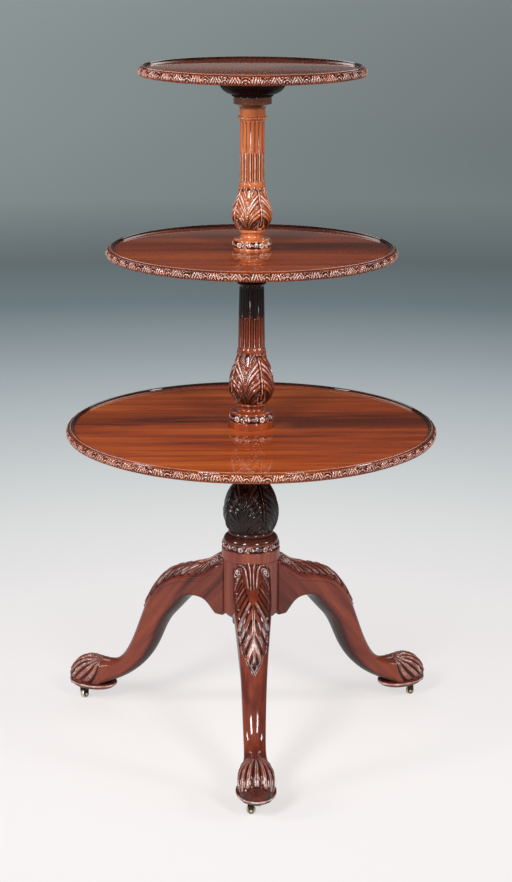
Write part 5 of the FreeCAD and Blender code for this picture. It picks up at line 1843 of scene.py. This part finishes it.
@dataclass
class Studio:
    """Camera, floor, backdrop tone and five soft lights."""

    lens: float = 84.73
    eye: Triple = (-0.1111, -3.5953, 1.5284)
    pitch: float = 15.07
    heading: float = -0.0299
    roll: float = -0.0038
    shift: float = 0.0054
    sight: float = 200.0
    floor_half: float = 60.0
    floor_reach: float = 25.0
    lean: float = -1.1
    lean_starts: Span = (2.5, 10.0)
    glow_starts: Span = (0.3, 1.5)
    least_glow: float = 0.68
    dimming_ends: Span = (0.4, 2.0)
    dimming: float = 0.75
    daylight: float = 0.15
    centre: Triple = (0.0, 0.0, 0.7)
    low_centre: Triple = (0.0, 0.0, 0.4)

    def camera(self) -> None:
        """Puts the camera where the photograph was taken."""
        data = bpy.data.cameras.new("camera")
        data.lens = self.lens
        data.shift_x = self.shift
        data.clip_end = self.sight
        camera = bpy.data.objects.new("camera", data)
        camera.location = self.eye
        camera.rotation_euler = (math.radians(90.0 - self.pitch), self.roll, self.heading)
        bpy.context.scene.collection.objects.link(camera)
        bpy.context.scene.camera = camera

    def floor(self) -> None:
        """Lays a plain pale floor that falls off to grey far behind the table."""
        half = self.floor_half
        mesh = bpy.data.meshes.new("floor")
        mesh.from_pydata([(-half, -half, 0.0), (half, -half, 0.0), (half, half, 0.0), (-half, half, 0.0)],
                         [], [(0, 1, 2, 3)])
        floor = bpy.data.objects.new("floor", mesh)
        bpy.context.scene.collection.objects.link(floor)
        material = bpy.data.materials.new("studio_floor")
        material.use_nodes = True
        self.wire_floor(Bench(material.node_tree))
        mesh.materials.append(material)

    def wire_floor(self, bench: Bench) -> None:
        """Builds the floor's nodes.

        Its colour depends on the distance from the table, and leans a little from side to side, a
        painted fall-off of the light. Far out, where the lamps don't reach, what the camera and
        reflections see is that colour itself. Close by, reflections see it dimmed, a painted shadow of
        the table.

        Args:
            bench: The material's empty node tree.
        """
        where = bench.add("ShaderNodeTexCoord").outputs["Object"]
        away = bench.add("ShaderNodeVectorMath", {0: where}, operation="LENGTH").outputs["Value"]
        tone = bench.shades(bench.maths("DIVIDE", away, self.floor_reach), FLOOR_STOPS)
        path = bench.add("ShaderNodeLightPath").outputs
        seen = bench.largest(path["Is Camera Ray"], bench.largest(
            path["Is Glossy Ray"], path["Is Transmission Ray"]))
        sideways = bench.add("ShaderNodeSeparateXYZ", {0: where}).outputs["X"]
        aside = bench.maths("DIVIDE", sideways, bench.largest(away, 1.0))
        tone = bench.leant(tone, bench.times(aside, bench.spread(away, *self.lean_starts, 0.0, self.lean)))
        share = bench.times(seen, bench.spread(away, *self.glow_starts, self.least_glow, 1.0))
        # Painted shadow: near the table the floor's glow is dimmed for glossy rays.
        dimmed = bench.times(path["Is Glossy Ray"], bench.spread(away, *self.dimming_ends, self.dimming, 0.0))
        matt = bench.add("ShaderNodeBsdfDiffuse", {"Color": tone})
        glow = bench.add("ShaderNodeEmission", {"Color": tone, "Strength": bench.minus(1.0, dimmed)})
        both = bench.add("ShaderNodeMixShader", {0: share, 1: matt.outputs[0], 2: glow.outputs[0]})
        bench.add("ShaderNodeOutputMaterial", {"Surface": both.outputs[0]})

    def world(self) -> None:
        """Fills the studio with soft light, and gives reflections a grey wall that darkens upwards."""
        world = bpy.data.worlds.new("studio")
        bpy.context.scene.world = world
        world.use_nodes = True
        bench = Bench(world.node_tree)
        way = bench.add("ShaderNodeTexCoord").outputs["Generated"]
        parts = bench.add("ShaderNodeSeparateXYZ", {0: way}).outputs
        wall = bench.shades(parts["Z"], WALL_STOPS)
        path = bench.add("ShaderNodeLightPath").outputs
        mirror = bench.largest(path["Is Glossy Ray"], path["Is Transmission Ray"])
        soft = bench.add("ShaderNodeBackground", {"Color": DAYLIGHT, "Strength": self.daylight})
        shown = bench.add("ShaderNodeBackground", {"Color": wall, "Strength": 1.0})
        # The backdrop leans from side to side, a painted fall-off of the light.
        backdrop = bench.leant(BACKDROP, bench.times(parts["X"], self.lean))
        pale = bench.add("ShaderNodeBackground", {"Color": backdrop, "Strength": 1.0})
        lit = bench.add("ShaderNodeMixShader", {0: mirror, 1: soft.outputs[0], 2: shown.outputs[0]})
        final = bench.add("ShaderNodeMixShader", {
            0: path["Is Camera Ray"], 1: lit.outputs[0], 2: pale.outputs[0]})
        bench.add("ShaderNodeOutputWorld", {"Surface": final.outputs[0]})

    def light(self, name: str, place: Triple, aim: Triple, size: Span, power: float) -> None:
        """Hangs one soft box.

        Args:
            name: The lamp's name.
            place: Where it hangs, in metres.
            aim: The point that it faces.
            size: Its width and height.
            power: Its power in watts.
        """
        data = bpy.data.lights.new(name, "AREA")
        data.shape = "RECTANGLE"
        data.size, data.size_y = size
        data.energy = power
        lamp = bpy.data.objects.new(name, data)
        lamp.location = place
        way = np.array(aim) - np.array(place)
        flat = math.hypot(way[0], way[1])
        lamp.rotation_euler = (math.pi / 2.0 + math.atan2(way[2], flat), 0.0,
                               math.atan2(way[1], way[0]) - math.pi / 2.0)
        bpy.context.scene.collection.objects.link(lamp)

    def build(self) -> None:
        """Sets up the whole studio."""
        self.camera()
        self.floor()
        self.world()
        self.light("key", (-1.25, -2.25, 2.0), self.centre, (0.55, 1.1), 66.0)
        self.light("fill", (1.15, -2.35, 1.95), self.centre, (0.5, 1.1), 42.0)
        self.light("left_side", (-2.5, -0.75, 1.8), self.centre, (0.5, 0.9), 26.0)
        self.light("right_side", (2.5, -0.75, 1.9), self.centre, (0.4, 0.7), 22.0)
        self.light("behind", (0.0, 2.7, 2.7), self.low_centre, (3.6, 0.9), 27.0)
        bpy.context.scene.view_settings.view_transform = "Standard"
        log.info("studio ready")


# The whole table

def build_columns(lower: Finish, upper: Finish) -> None:
    """Builds the two fluted columns, each in its own finish.

    Args:
        lower: What the middle column is finished in.
        upper: What the upper column is finished in.
    """
    FlutedColumn(
        "middle_column", seat=533.7, start=587.7, top=872.2,
        foot_radius=40.1, foot_band=12.0, ring_radius=39.0, ring_edge=37.2, ring_height=14.8, shoulder=3.0,
        scotia_edge=27.5, scotia_radius=22.5, scotia_height=11.1, fillet_radius=28.6, fillet_height=4.2,
        vase_foot=24.5, belly_radius=38.8, belly_rise=28.0, vase_rise=61.0, vase_turn=0.78,
        band_radius=24.8, band_height=9.0, shaft_foot=23.9, shaft_top=21.6, bead_radius=25.6, bead_height=5.0,
        neck_radius=22.5, neck_height=7.0, flare_radius=31.0, flare_height=4.0, drum_radius=33.4,
        drum_height=10.0, flute_radius=3.6, reed_radius=2.5, reed_rise=54.0, socket_radius=10.04,
        socket_depth=30.5, finish=lower, painted_shade_length=106.0).build()
    FlutedColumn(
        "upper_column", seat=872.2, start=908.5, top=1173.8,
        foot_radius=33.3, foot_band=3.2, ring_radius=34.0, ring_edge=32.4, ring_height=13.4, shoulder=2.4,
        scotia_edge=23.5, scotia_radius=19.6, scotia_height=12.2, fillet_radius=23.8, fillet_height=4.2,
        vase_foot=20.6, belly_radius=33.6, belly_rise=23.6, vase_rise=47.8, vase_turn=0.56,
        band_radius=22.5, band_height=8.6, shaft_foot=21.7, shaft_top=21.2, bead_radius=25.7, bead_height=6.0,
        neck_radius=22.6, neck_height=12.0, flare_radius=30.5, flare_height=8.6, drum_radius=33.5,
        drum_height=13.0, flute_radius=3.4, reed_radius=2.35, reed_rise=50.0, socket_radius=11.05,
        socket_depth=38.5, finish=upper).build()


def build_trays(wood: Mahogany) -> None:
    """Builds the three trays, the middle one a little darker, as its light is in the photograph.

    Args:
        wood: What the trays are finished in.
    """
    darker = replace(wood, name="polished_middle_tray", middle=paint(148, 60, 23), light=paint(186, 92, 36))
    Tray("lower_tray", radius=330.0, rim_top=592.4, board=20.0, columns=1708, cells=61, finish=wood,
         seat_radius=40.6).build()
    Tray("middle_tray", radius=255.0, rim_top=913.2, board=18.0, columns=1504, cells=47, finish=darker,
         seat_radius=33.8).build()
    Tray("upper_tray", radius=196.5, rim_top=1226.0, board=18.0, columns=1224, cells=36, finish=wood,
         seat_radius=None).build()


def down_a_leg(azimuth: float, slope: float = 48.0) -> Triple:
    """Gives the turn, in degrees, that lays a leg's grain along X, as it falls outwards by a slope."""
    turn = Matrix.Rotation(math.radians(-slope), 3, "Y") @ Matrix.Rotation(math.radians(-azimuth), 3, "Z")
    return tuple(math.degrees(part) for part in turn.to_euler("XYZ"))


def build_legs() -> None:
    """Builds the three legs, each with its grain along it and its own tone, which paints shade and light: the front leg
    darker, the side legs lighter.
    """
    for name, azimuth, middle in (("front", -90.0, paint(96, 37, 25)), ("right", 30.0, paint(112, 47, 33)),
                                  ("left", 150.0, paint(118, 52, 36))):
        Leg(name, azimuth, Mahogany(f"polished_{name}_leg", middle=middle, turn=down_a_leg(azimuth))).build()


def dress_nodes(nodes: dict[str, bpy.types.Object], wood: Finish) -> None:
    """Gives every CAD node that stays in view its finish, by the kind of piece that it is.

    Args:
        nodes: The frame's nodes, by name.
        wood: What the bearers are finished in.
    """
    # Caster plates, forks and pins are near-black brass.
    bright, dull = MetalFinish("worn_brass", Metal.BRASS), MetalFinish("dark_brass", Metal.DARK_BRASS)
    kinds: dict[str, Finish] = {
        "_bearer": wood,
        "_screws": MetalFinish("dark_steel", Metal.STEEL),
        "leg_brace": MetalFinish("black_iron", Metal.IRON),
        "_wheel": bright, "_axle": bright,
        "_plate": dull, "_fork": dull, "_pin": dull,
    }
    for name, node in nodes.items():
        if node.hide_render:
            continue
        ending = next(ending for ending in kinds if name.endswith(ending))
        kinds[ending].dress(node)
        log.info("%s: dressed in %s", name, kinds[ending].name)


def main() -> None:
    """Builds the table over its frame."""
    logging.basicConfig(level=logging.INFO, format="%(message)s")
    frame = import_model()
    Studio().build()
    upright = (0.0, 90.0, 0.0)
    # The two columns' finishes are copies of one mahogany toned for how the light falls: the upper column's lighter,
    # painted light, and the middle column's darker, painted shade under its tray.
    upper_wood = Mahogany("polished_upper_column", dark=paint(112, 46, 26), middle=paint(178, 94, 50),
                          light=paint(214, 138, 80), crest=paint(246, 226, 222), turn=upright)
    middle_wood = Mahogany("polished_middle_column", dark=paint(84, 30, 14), middle=paint(138, 58, 26),
                           light=paint(176, 88, 44), crest=paint(240, 212, 202), turn=upright)
    base_wood = Mahogany("polished_pillar", dark=paint(78, 31, 23), middle=paint(124, 57, 43),
                         light=paint(158, 84, 62), turn=upright)
    # The bearers are toned near-black, painted shade for the trays' shadow on them.
    plain_wood = Mahogany("polished_bearers", dark=paint(12, 6, 5), middle=paint(26, 12, 10),
                          light=paint(40, 20, 15), turn=upright, polish=0.15, sheen=0.04, carved=False)
    tray_wood = Mahogany("polished_trays", dark=paint(90, 31, 12), middle=paint(162, 68, 25),
                         light=paint(202, 104, 40), hollow=paint(22, 11, 10), crest=paint(190, 168, 160),
                         crest_share=0.94, least_lit=0.75, gloss=0.04, sheen=0.06, flame_and_shadow=0.9)
    Pillar(base_wood).build()
    build_columns(middle_wood, upper_wood)
    build_trays(tray_wood)
    build_legs()
    dress_nodes(frame["nodes"], plain_wood)


if __name__ == "__main__":
    main()
